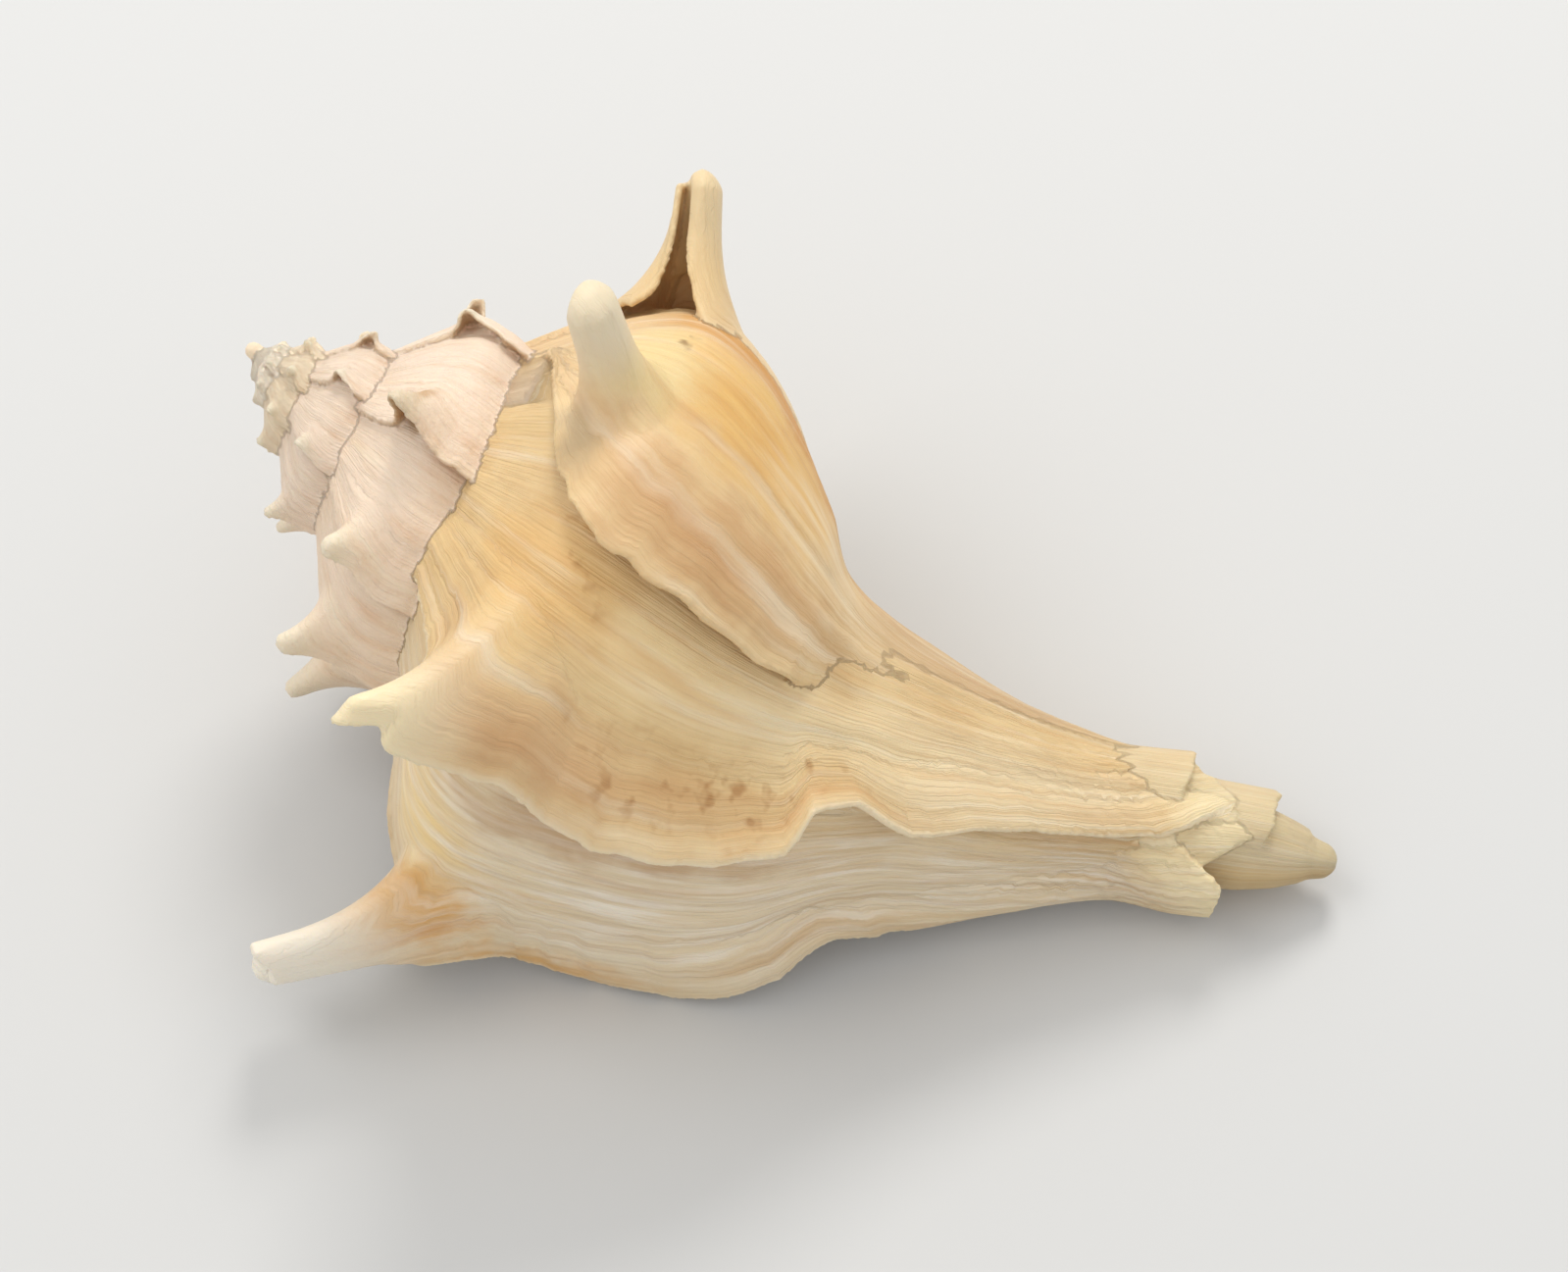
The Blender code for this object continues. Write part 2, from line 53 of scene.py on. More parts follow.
# %% [markdown]
# ## One outline that grows
# Cut a real shell through its axis and every whorl shows the same outline: a ramp under the
# suture, a shoulder, a round body and a long neck. The outline could be drawn as a curve and
# turned with a Screw modifier, but a screw neither grows nor changes its outline as it turns.
#
# So the outline is written down at four growth angles, as pairs of radius and distance from the
# apex at thirteen places. Anything between is blended, and further back the last outline shrinks
# by the same share each turn. That makes a log spiral.

# %% Outlines of the last turn
WHORL_GROWTH = 1.87
FIRST_ANGLE = -1980.0
LIP_ANGLE = 174.0

OUTLINES = {
    0.0: ((13.6, 22.0), (19.4, 26.2), (24.6, 30.7), (28.0, 35.6), (27.9, 41.8), (24.9, 48.2),
          (19.9, 54.2), (14.7, 60.0), (12.9, 67.4), (12.0, 75.0), (9.8, 84.0), (8.2, 92.0),
          (7.2, 98.0)),
    60.0: ((15.0, 24.5), (21.6, 29.2), (27.2, 33.9), (29.7, 39.4), (28.8, 46.0), (25.5, 53.0),
           (20.9, 60.0), (16.0, 66.5), (13.3, 73.5), (11.2, 81.5), (9.2, 90.0), (7.6, 98.0),
           (7.2, 105.0)),
    122.0: ((16.5, 27.4), (23.6, 32.2), (30.2, 37.3), (32.4, 43.4), (31.0, 50.6), (27.4, 58.4),
            (22.4, 66.0), (17.0, 73.0), (13.0, 80.0), (10.2, 88.0), (8.2, 96.5), (6.8, 105.0),
            (5.2, 113.5)),
    178.0: ((18.2, 31.4), (25.4, 36.6), (32.2, 41.4), (34.2, 47.2), (32.4, 54.8), (29.6, 62.4),
            (25.4, 69.8), (16.8, 76.8), (12.0, 84.0), (8.6, 91.2), (6.5, 98.0), (6.5, 103.6),
            (6.3, 107.4)),
}
OUTLINE_ANGLES = tuple(OUTLINES)
OUTLINE_TABLE = np.log(np.array([OUTLINES[angle] for angle in OUTLINE_ANGLES]))
PLACES = OUTLINE_TABLE.shape[1]
print("outlines at", OUTLINE_ANGLES, "degrees, with", PLACES, "places each")

# %% [markdown]
# ## A smooth line through the places
# Thirteen places are few, so a Catmull-Rom curve runs through them. Each point of the line is a
# weighted sum of the four places next to it. The weights go in a table, and one multiplication
# then gives the line at any number of growth angles.

# %% Smooth line through the places
def smooth_rows(places):
    places = np.clip(np.asarray(places, float), 0, PLACES - 1 - 1e-9)
    start = places.astype(int)
    t = places - start
    rows = np.zeros((len(places), PLACES))
    shares = (
        (-1, (-t + 2 * t**2 - t**3) / 2), (0, (2 - 5 * t**2 + 3 * t**3) / 2),
        (1, (t + 4 * t**2 - 3 * t**3) / 2), (2, (-t**2 + t**3) / 2),
    )
    index = np.arange(len(places))
    for step, share in shares:
        at = start + step
        low, high = at < 0, at > PLACES - 1
        inside = ~low & ~high
        np.add.at(rows, (index[inside], at[inside]), share[inside])
        np.add.at(rows, (index[low], 0 * at[low]), 2 * share[low])
        np.add.at(rows, (index[low], 0 * at[low] + 1), -share[low])
        np.add.at(rows, (index[high], 0 * at[high] + PLACES - 1), 2 * share[high])
        np.add.at(rows, (index[high], 0 * at[high] + PLACES - 2), -share[high])
    return rows


weights = smooth_rows([2.5])[0]
print("halfway from place 2 to 3 the weights are", weights[1:5].round(3))

# %% [markdown]
# ## The outline at any growth angle
# The radii are blended as logarithms, because growth multiplies. The function also gives the
# direction straight out of the shell at each point, which the blades and the wall need.

# %% Outline at any growth angle
SHOULDER = 2
SHORT_STEP = 0.02
LAST_PLACE = PLACES - 1.001


def nodes_at(angles):
    angles = np.asarray(angles, float)
    held = np.clip(angles, OUTLINE_ANGLES[0], OUTLINE_ANGLES[-1])
    above = np.clip(np.searchsorted(OUTLINE_ANGLES, held), 1, len(OUTLINE_ANGLES) - 1)
    low = np.take(OUTLINE_ANGLES, above - 1)
    share = ((held - low) / (np.take(OUTLINE_ANGLES, above) - low))[:, None, None]
    nodes = np.exp(OUTLINE_TABLE[above - 1] * (1 - share) + OUTLINE_TABLE[above] * share)
    return nodes * (WHORL_GROWTH ** ((angles - held) / 360))[:, None, None]


def size_at(angles):
    return nodes_at(np.ravel(angles))[:, SHOULDER, 0] / OUTLINES[OUTLINE_ANGLES[-1]][SHOULDER][0]


def outline(angles, places):
    nodes = nodes_at(angles)
    at = smooth_rows(places)
    ahead = smooth_rows(np.minimum(np.asarray(places) + SHORT_STEP, LAST_PLACE))
    behind = smooth_rows(np.maximum(np.asarray(places) - SHORT_STEP, 0))
    points = np.einsum("pn,anc->apc", at, nodes)
    along = np.einsum("pn,anc->apc", ahead - behind, nodes)
    along /= np.linalg.norm(along, axis=2, keepdims=True)
    return points, np.stack([along[..., 1], -along[..., 0]], axis=2)


print("the shoulder's radius one turn before the lip:", outline([-186], [SHOULDER])[0][0, 0, 0].round(1))

# %% [markdown]
# ## Round the axis, and aside at the canal
# A point of the outline is turned about the axis by its growth angle. The lip of a murex trails
# behind along the canal, so each place there lags by some degrees more. The canal itself bends
# aside. A Simple Deform modifier could bend it, but the bend is easier to hold when it is worked
# out point by point: straight, then an arc, then straight again. The tip of the spire has also
# drifted a little to one side.

# %% Turn and bend
CANAL_LAG = (0, 0, 0, 0, 0, 0, -2, -6, -12, -18, -26, -38, -56)
CANAL_BEND = 22.6
BEND_FROM, BEND_TO = 58.0, 92.0
DRIFT, DRIFT_AT, DRIFT_WIDTH = 0.9, 8.5, 6.5


def turned(radial, axial, degrees):
    turn = np.radians(degrees)
    return np.stack([axial, radial * np.cos(turn), radial * np.sin(turn)], axis=-1)


def lag_at(places):
    return np.interp(places, range(PLACES), CANAL_LAG)


def bent(points):
    x = points[..., 0]
    turn = math.radians(CANAL_BEND)
    span = BEND_TO - BEND_FROM
    into = np.clip(x - BEND_FROM, 0, span)
    beyond = np.clip(x - BEND_TO, 0, None)
    angle = turn * into / span
    radius = span / turn
    axis_x = np.minimum(x, BEND_FROM) + radius * np.sin(angle) + beyond * math.cos(turn)
    axis_y = radius * (1 - np.cos(angle)) + beyond * math.sin(turn)
    y = points[..., 1] - DRIFT * np.exp(-((x - DRIFT_AT) / DRIFT_WIDTH) ** 2)
    out = points.copy()
    out[..., 0] = axis_x - y * np.sin(angle)
    out[..., 1] = axis_y + y * np.cos(angle)
    return out


tip = bent(turned(np.array([0.0]), np.array([120.0]), 0.0))[0]
print("the canal's tip comes to", tip.round(1), "mm from the apex")

# %% [markdown]
# ## Growth marks
# Every few days of growth leave a line along the lip. The lines are uneven, and broad waves run
# under them. Noise textures on a Displace modifier would ignore the coil, so a small table of
# random heights is read along age and place instead. Stretched along the place it gives lines.

# %% Random heights that wander
TABLE_SIDE = 97


def wander(x, y, seed):
    table = np.random.default_rng(seed).uniform(-1, 1, (TABLE_SIDE, TABLE_SIDE))
    column, row = np.floor(x).astype(int), np.floor(y).astype(int)
    right, up = x - column, y - row
    right, up = right * right * (3 - 2 * right), up * up * (3 - 2 * up)
    column, next_column = column % TABLE_SIDE, (column + 1) % TABLE_SIDE
    row, next_row = row % TABLE_SIDE, (row + 1) % TABLE_SIDE
    near = table[column, row] * (1 - right) + table[next_column, row] * right
    far = table[column, next_row] * (1 - right) + table[next_column, next_row] * right
    return near * (1 - up) + far * up


print("three random heights:", wander(np.array([0.0, 0.5, 1.0]), np.zeros(3), 11).round(2))

# %% Waves, ridges and lines
WAVES, RIDGES, LINES = 0.30, 0.19, 0.11
MARKS_SHRINK = 0.75


def relief(age, place, size):
    waves = WAVES * wander(age / 7.5 + 3, place / 2.2, 11)
    ridges = RIDGES * wander(age / 2.3, place / 1.8, 12)
    lines = LINES * wander(age / 1.1, place / 1.6, 13)
    return size**MARKS_SHRINK * (waves + (ridges + lines))


marks = relief(np.linspace(0, 60, 200), np.full(200, 4.0), 1.0)
print("growth marks stand from", marks.min().round(2), "to", marks.max().round(2), "mm")

# %% [markdown]
# ## The lip, newest of the varices
# About eight times a turn the animal rested. It then flared its lip into a thin blade and drew
# it out into a hooded spine at the shoulder. Such a rest is called a varix. The four newest are
# the largest, and each has numbers of its own.
#
# A varix is a list of plain measurements. The edge pairs say how many degrees the free edge
# reaches past the varix at each place. The flare is how high the blade stands off the whorl, and
# where it is below zero the blade dips under the skin and its edge is lost. The rest describes
# the spine: its place, length, half widths, lean, and how it is broken off.

# %% The lip, with the longest spine
LIP_VARIX = dict(
    at=172.0, place=2.8, length=18.2, base=8.4, tip=1.9, lean=34.7, steeper=2.2, end=-0.10,
    ragged=2.2, bow=0.42, sides=1.25, reach=1.25, cut=(1.2, 0.0, 0.0),
    edge=((0, 0), (1.6, 2), (2, 10), (2.6, 10), (2.8, 5), (3, 10), (3.4, 5), (3.7, 5), (4.1, 9),
          (5.5, 10), (6, 6.5), (6.2, 7), (6.45, 3), (7, 3), (7.2, 8), (7.5, 8), (8, 20), (9, 28),
          (10, 36), (11, 50), (12, 60)),
    flare=(0.3, 0.4, 1.4, 2.6, 2.6, 2.4, 2.4, 1.4, 0.8, 0.6, 0.6, 0.8, 0.8))
print("lip spine", LIP_VARIX["length"], "mm long")

# %% [markdown]
# ## The hood before the lip
# This blade stands off the back like a wave, and its spine ends in a jagged break. The edge
# falls back sharply near place 7, where a piece has chipped out of it.

# %% The hood, with a broken edge
HOOD_VARIX = dict(
    at=119.0, place=2.4, length=16.5, base=9.0, tip=0.9, lean=28.5, steeper=1.6, end=0.0,
    bow=0.55, sides=1.35, reach=1.5, cut=(0.84, -0.26, 0.12),
    edge=((0, 0), (1.6, 0.5), (2, 1), (2.3, 0.8), (2.5, -0.8), (2.7, 1.5), (3.1, 2.2), (3.4, 3.2),
          (3.7, 5.8), (4, 7), (4.5, 7.8), (5.5, 6.2), (6, 3.2), (6.25, 3), (6.45, -6), (7, -7.8),
          (7.3, -3), (7.7, 3.5), (8, 4), (8.5, 2), (9, 2.2), (10, 7), (10.5, 9), (11, 4),
          (12, -13)),
    flare=(0.3, 0.4, 1.6, 3.6, 4.2, 4.4, 4.4, 4.0, 3.0, 2.0, 1.0, 0.2, 0.0))
print("the hood stands up to", max(HOOD_VARIX["flare"]), "mm off the whorl")

# %% [markdown]
# ## The tongue and the split spine
# The tongue is a rounded spine in the middle of the back. On the varix before it the spine is
# split: its edge falls back in a narrow cleft. Both blades sink into the whorl towards the canal,
# because the animal took them down again there, so their flare ends below zero.

# %% The tongue in the middle of the back
TONGUE_VARIX = dict(
    at=56.0, place=2.05, length=11.4, base=6.0, tip=1.9, lean=28.5, steeper=2.2, end=0.12,
    bow=0.42, sides=1.35, reach=0.95, cut=(1.2, 0.0, 0.0),
    edge=((0, -30), (0.62, -30), (0.7, -24), (0.8, -17), (0.95, -8), (1.1, -1), (1.3, 5),
          (1.55, 10), (1.75, 14), (2.05, 18.5), (2.35, 22), (2.65, 24), (3, 26), (3.3, 28),
          (4.5, 28.3), (5.5, 30), (6.5, 29.5), (7, 25), (12, 10)),
    flare=(0.3, 0.4, 1.4, 2.6, 3.0, 3.4, 3.0, -0.6, -2.2, -2.4, -2.4, -2.4, -2.4))
print("the tongue's edge reaches", max(reach for at, reach in TONGUE_VARIX["edge"]), "degrees on")

# %% The split spine at the back
SPLIT_VARIX = dict(
    at=4.0, place=2.5, length=12.0, base=6.4, tip=1.5, lean=23.0, steeper=0.9, end=0.10,
    bow=0.42, sides=1.25, reach=1.25, cut=(1.2, 0.0, 0.0),
    edge=((0, 0), (1.3, 4), (1.5, 5), (1.65, 8), (1.8, 12), (2, 12), (2.1, 10), (2.17, 7),
          (2.25, 1), (2.32, -4), (2.42, -6), (2.47, 8), (2.66, 12), (3, 16), (4, 10), (12, 0)),
    flare=(0.1, 0.2, 0.8, -0.6, -1.4, -1.4, -1.4, -1.4, -2.2, -2.4, -2.4, -2.4, -2.4))
print("the split spine is", SPLIT_VARIX["length"], "mm long")

# %% [markdown]
# ## The worn varices of the spire
# Further back the spines are shorter and worn round. They share one shape, scaled to the whorl
# they stand on, and each has its own angle, length and lean. Their edge falls back at the spine,
# so that each is a small hood, open in front. Towards the apex they repeat at an even spacing.

# %% Shape and places of the worn varices
OLD_SHAPE = dict(
    place=2.4, base=7.6, tip=0.9, steeper=1.4, end=0.05, bow=0.62, sides=1.6, reach=1.45,
    cut=(0.93, 0.0, 0.03),
    edge=((0, 2), (1.5, 5), (2.0, 3), (2.4, 0.5), (2.8, 3), (3.4, 7), (5, 6), (10, 6), (12, 0)),
    flare=(0.3, 0.4, 1.2, 2.0, 2.4, 2.4, 2.2, 2.0, 1.4, 1.0, 0.8, 0.6, 0.4))
OLD_SPINES = (
    (-52, 9, 30), (-98, 9, 30), (-140, 13, 8), (-162, 14.5, 20), (-200, 10.4, 32), (-237, 7.5, 34),
    (-281, 11.3, 32), (-336, 4.6, 46), (-385, 14, 14), (-429, 9, 30), (-473, 9, 30),
    (-517, 10.5, 25), (-556, 8, 32), (-606, 5, 32), (-652, 4.5, 30), (-693, 9, -15),
    (-737, 8, 20), (-781, 8, 20), (-825, 9, 28), (-869, 11, 15))
OLD_SPACING, OLD_LENGTH, OLD_LEAN = 44.0, 8.5, 20.0
SPINES_START = FIRST_ANGLE + 400
print(len(OLD_SPINES), "worn spines have an angle, length and lean of their own")


# %% Every varix from the apex to the lip
def varices():
    found = [dict(varix) for varix in (LIP_VARIX, HOOD_VARIX, TONGUE_VARIX, SPLIT_VARIX)]
    old = list(OLD_SPINES)
    while old[-1][0] > SPINES_START:
        old.append((old[-1][0] - OLD_SPACING, OLD_LENGTH, OLD_LEAN))
    for angle, length, lean in old:
        size = float(size_at(angle)[0])
        varix = dict(OLD_SHAPE, at=float(angle), length=length * size, lean=lean)
        varix["base"] *= size
        varix["tip"] *= size
        varix["flare"] = tuple(size * rise for rise in OLD_SHAPE["flare"])
        found.append(varix)
    return sorted(found, key=lambda varix: varix["at"])


VARICES = varices()
VARIX_ANGLES = np.array([varix["at"] for varix in VARICES])
print(len(VARICES), "varices from the apex to the lip")

# %% [markdown]
# ## Age, the coordinate that everything follows
# Just before a rest the lip grows faster where a blade is coming, and the growth lines bunch and
# lean there. Age is the growth angle with that taken into account. Lines, streaks and colours all
# follow age, so they sweep up into the spines the way they do on a real shell.

# %% Age of every bit of shell
BACK_PLACES, BACK_DEGREES = (7, 9, 12), (26, 60, 100)


def back_at(places):
    return np.interp(places, BACK_PLACES, BACK_DEGREES)


def over_at(varix, places):
    edge_places, degrees = zip(*varix["edge"])
    return np.interp(places, edge_places, degrees)


def age_at(angles, places):
    back = back_at(places)[None, :]
    overs = np.array([over_at(varix, places) for varix in VARICES])
    which = np.clip(np.searchsorted(VARIX_ANGLES, angles), 0, len(VARICES) - 1)
    start = VARIX_ANGLES[which][:, None] - back
    past = np.clip(angles[:, None] - start, 0, None)
    slowed = start + back * past / (back + overs[which] + 1e-6)
    return np.where(past > 0, slowed, angles[:, None])


print("shell at 70 degrees by the shoulder has age", age_at(np.array([70.0]), [2.0])[0, 0].round(1))

# %% [markdown]
# ## A stretch of whorl swells before each blade
# From one varix to the next the whorl lifts slowly and drops at the blade. That gives the coil
# its stepped look and lets each blade start level with the skin that it grows from.

# %% Swelling before a blade
SWELL, DROP_SHARE = 0.42, 0.06


def swell(angles, places):
    which = np.clip(np.searchsorted(VARIX_ANGLES, angles), 1, len(VARICES) - 1)
    high, low = VARIX_ANGLES[which], VARIX_ANGLES[which - 1]
    phase = np.clip((angles - low) / (high - low), 0, 1)[:, None]
    flares = np.array([np.interp(places, range(PLACES), np.maximum(varix["flare"], 0))
                       for varix in VARICES])
    return SWELL * flares[which] * phase**2 * np.clip((1 - phase) / DROP_SHARE, 0, 1)


print("most swelling", swell(np.arange(-300, 170, 2.0), np.arange(12.0)).max().round(2), "mm")

# %% [markdown]
# ## A blade as a thin closed sheet
# A blade is a sheet of points: columns run along the outline, and rows go from the foot, sunk a
# little in the whorl, to the free edge. It could be extruded from the whorl's edge and sculpted.
# Written as a sheet it keeps an even thickness, and its edge can be measured and set in degrees.
#
# The columns stand close together over the spine, where the sheet bends most. Below the body an
# old blade is covered by the next whorl, so its sheet stops there.

# %% Columns of a blade
STEP, ROWS = 0.08, 90
FIRST_COLUMN, SPINE_ENDS, HIDDEN_BELOW = 0.15, 4.0, 4.9


def blade_places(last_turn, step):
    end = LAST_PLACE if last_turn else HIDDEN_BELOW
    near = np.arange(FIRST_COLUMN, SPINE_ENDS, 0.36 * step)
    far = np.arange(SPINE_ENDS, end, 1.6 * step if last_turn else step)
    return np.concatenate([near, far, [end]])


print("the lip's blade has", len(blade_places(True, STEP)), "columns")

# %% [markdown]
# ## The hood of a spine
# Seen from above, a spine's height falls off from its middle to its foot, steeply at first and
# then in a long curve. The tip is domed or a little hollow. Where it has broken off, the height
# is cut at a slanting, jagged level.

# %% Height of a hood
CUT_WIDTH = 0.25


def hood_height(varix, arc, behind):
    base = varix["base"]
    spread = np.sqrt((arc / base) ** 2 + (behind / (base * varix["reach"])) ** 2)
    thin = varix["tip"] / base
    out = np.clip((spread - thin) / (1 - thin), 0, 1)
    height = (1 - out ** varix["bow"]) ** varix["sides"]
    height = height + varix["end"] * np.clip(1 - (spread / thin) ** 2, 0, 1)
    level, slope, jag = varix["cut"]
    side = arc / (CUT_WIDTH * base)
    jags = wander(side * 2.2 + varix["at"], behind / base * 2, 7)
    return np.minimum(height, level + slope * np.tanh(side) + jag * jags)


heights = hood_height(LIP_VARIX, np.array([0.0, 3.0, 6.0]), np.zeros(3)) * LIP_VARIX["length"]
print("the lip spine's height 0, 3 and 6 mm from its middle:", heights.round(1))

# %% [markdown]
# ## How a blade lifts off
# Each row of the sheet has its own growth angle, from the foot far back to the edge in front, and
# the edge is chipped a little at random. Across the rows the sheet starts under the whorl's skin
# and rises to the flare. Only at the canal's end it is off the skin all the way, as a plain tube.

# %% Angles and lift of a blade
RAGGED = 0.6
SINK, LATE_RISE = 0.9, 2.2
TUBE_FROM, TUBE_SPAN, FADE_SPAN = 10.6, 1.2, 0.6


def blade_angles(varix, places, rise):
    chips = wander(places * 5 + varix["at"], 0 * places, 5)
    chips = chips + 0.5 * wander(places * 19, 0 * places, 6)
    over = (over_at(varix, places) + varix.get("ragged", RAGGED) * chips)[None, :]
    back = back_at(places)[None, :]
    return varix["at"] + over - (back + over) * (1 - rise), varix["at"] - back * (1 - rise)


def blade_lift(varix, places, rise, size, last_turn):
    fade = 1 if last_turn else np.clip((HIDDEN_BELOW - places) / FADE_SPAN, 0, 1)
    flare = (np.interp(places, range(PLACES), varix["flare"]) * fade)[None, :]
    plain = np.clip((places - TUBE_FROM) / TUBE_SPAN, 0, 1)[None, :] * last_turn
    lift = -SINK * size * (1 - rise) ** 2 + flare * rise**LATE_RISE
    return lift * (1 - plain) + flare * plain


rows = np.array([[0.0], [0.5], [1.0]])
lifts = blade_lift(HOOD_VARIX, np.array([4.0]), rows, 1.0, True)
print("the hood's lift at foot, middle and edge:", lifts[:, 0].round(2), "mm")

# %% [markdown]
# ## Closing a sheet
# Two grids of points, one for the top and one for the under side, are joined all round. With
# each point go five facts: age, place, how far up the spine it is, whether it is the under side,
# and whether it is inside the room. The colours are painted from them later.

# %% Close a sheet
def closed_sheet(top, under, facts):
    rows, columns = top.shape[:2]
    index = np.arange(rows * columns).reshape(rows, columns)
    quads = np.stack([index[:-1, :-1], index[:-1, 1:], index[1:, 1:], index[1:, :-1]], -1)
    quads = quads.reshape(-1, 4)
    shift = rows * columns
    rim = np.concatenate([index[0, :-1], index[:-1, -1], index[-1, :0:-1], index[:0:-1, 0]])
    after = np.roll(rim, -1)
    sides = np.stack([after, rim, rim + shift, after + shift], 1)
    facts = np.concatenate([facts.reshape(-1, 3)] * 2)
    under_side = np.repeat([1.0, 0.0], shift)[:, None]
    return (np.concatenate([top.reshape(-1, 3), under.reshape(-1, 3)]),
            np.concatenate([quads, quads[:, ::-1] + shift, sides]),
            np.concatenate([facts, under_side, 0 * under_side], axis=1))


grid = np.zeros((3, 4, 3))
print("a sheet of 3 by 4 points closes to", len(closed_sheet(grid, grid, grid)[1]), "faces")

# %% [markdown]
# ## One blade
# The outline at the varix is carried along the rows and grows a little on the way. The lift moves
# it off the whorl, and the hood pushes the spine out, leaning towards the apex. The under side is
# the same sheet set back by the blade's thickness.

# %% Make the blades
BLADE = 0.8
MOST_GROWN = 10.0
COARSEST, FAR_SIDE = 0.25, 0.9
OVERLAP = 12


def blade(varix):
    angle = varix["at"]
    size = float(size_at(angle)[0])
    coarse = max(size, COARSEST)
    last_turn = angle > LIP_ANGLE - 360 - OVERLAP
    places = blade_places(last_turn, STEP / coarse)
    rise = np.linspace(0, 1, int(ROWS * coarse))[:, None]
    theta, age = blade_angles(varix, places, rise)
    points, normals = (found[0] for found in outline([angle], places))
    ratio = WHORL_GROWTH ** (np.minimum(theta - angle, MOST_GROWN) / 360)
    lift = blade_lift(varix, places, rise, size, last_turn)
    lift = lift + relief(age, places[None, :] + 0 * rise, size)
    radial = points[None, :, 0] * ratio + lift * normals[None, :, 0]
    axial = points[None, :, 1] * ratio + lift * normals[None, :, 1]
    arc = np.concatenate([[0], np.cumsum(np.linalg.norm(np.diff(points, axis=0), axis=1))])
    arc -= np.interp(varix["place"], places, arc)
    arc *= np.where(arc < 0, varix["steeper"], FAR_SIDE)
    behind = np.radians(angle - theta) * np.interp(varix["place"], places, points[:, 0])
    hood = hood_height(varix, arc[None, :], behind)
    height = hood * varix["length"]
    lean = math.radians(varix["lean"])
    radial = radial + height * math.cos(lean)
    axial = axial - height * math.sin(lean) * (0.6 + 0.4 * hood)
    top = turned(radial, axial, theta + lag_at(places)[None, :])
    normal = np.cross(np.gradient(top, axis=1), np.gradient(top, axis=0))
    normal /= np.linalg.norm(normal, axis=2, keepdims=True) + 1e-12
    under = top - normal * BLADE * coarse**0.5
    up_spine = hood / (1 + max(varix["end"], 0))
    facts = np.stack([age + 0 * theta, places + 0 * theta, up_spine + 0 * theta], axis=-1)
    return closed_sheet(bent(top), bent(under), facts)


blades = [blade(varix) for varix in VARICES]
print(len(blades), "blades with", sum(len(sheet[1]) for sheet in blades), "faces")

# %% [markdown]
# ## A tube of closed rings
# The coil, the canal's pillar and the first whorl are all tubes: rings of points, one after the
# other, with a cap at each end. Where a ring closes, its last point joins its first.

# %% A tube of closed rings
def tube(sections, facts):
    rows, columns = sections.shape[:2]
    index = np.arange(rows * columns).reshape(rows, columns)
    after = np.roll(index, -1, axis=1)
    quads = np.stack([index[:-1], after[:-1], after[1:], index[1:]], axis=2).reshape(-1, 4)
    centres = np.stack([sections[0].mean(0), sections[-1].mean(0)])
    first, last = 0 * index[0] + rows * columns, 0 * index[0] + rows * columns + 1
    start = np.stack([after[0], index[0], first, first], 1)
    end = np.stack([index[-1], after[-1], last, last], 1)
    points = np.concatenate([sections.reshape(-1, 3), centres])
    facts = np.concatenate([facts.reshape(-1, 5), facts[0, :1], facts[-1, :1]])
    return points, np.concatenate([quads, start, end]), facts


ring_count = len(tube(np.zeros((3, 4, 3)), np.zeros((3, 4, 5)))[1])
print("a tube of 3 rings of 4 points has", ring_count, "faces")

# %% [markdown]
# ## The room inside
# The animal lived in the last turn. Its room is bounded outside by the shell's wall, set in from
# the outline, and inside by a floor over the whorl before. Near the lip it reaches down into the
# canal, and further back it ends at the body. The early whorls are simply left solid here,
# because nobody can see into them.

# %% Outer wall of the room
WALL_PLACES, WALL_THICKNESS = (0, 7, 9, 12), (2.3, 2.3, 2.0, 1.7)


def outer_wall(angles, along):
    size = size_at(angles)[:, None]
    fixed = np.linspace(0.35, 12.0, 400)
    points, normals = outline(angles, fixed)
    wall = np.interp(fixed, WALL_PLACES, WALL_THICKNESS)[None, :] * size
    inner_side = points - normals * wall[..., None]
    return np.stack([
        np.stack([np.interp(row, fixed, line[:, axis]) for row, line in zip(along, inner_side)])
        for axis in (0, 1)], axis=-1)


shoulder = outer_wall(np.array([170.0]), np.array([[2.0]]))[0, 0, 0]
print("at the lip the room's shoulder is", shoulder.round(1), "mm from the axis")

# %% Floor of the room, and its rings
PILLAR_POINTS = 30
FLOOR_FROM, FLOOR_TO, FLOOR_THICKNESS = 5.0, 11.9, 0.9
CORNER_POINTS, CORNER_RADIUS = 8, 2.4
ROOM_FROM, REACH_ANGLES, ROOM_REACH = 0.7, (90, 172), (8.0, 12.0)


def floor_of_room(angles, outer):
    size = size_at(angles)[:, None]
    floor = []
    for place in np.linspace(FLOOR_FROM, FLOOR_TO, PILLAR_POINTS - CORNER_POINTS):
        at, out = outline(angles - 360 - lag_at(place), [place])
        floor.append(at[:, 0] + out[:, 0] * FLOOR_THICKNESS * size)
    last = floor[-1]
    corner = np.stack([CORNER_RADIUS * size[:, 0], outer[:, -1, 1]], axis=-1)
    for part in np.linspace(0, 1, CORNER_POINTS + 1)[1:]:
        floor.append(last + (corner - last) * part)
    return np.stack(floor[::-1], axis=1)


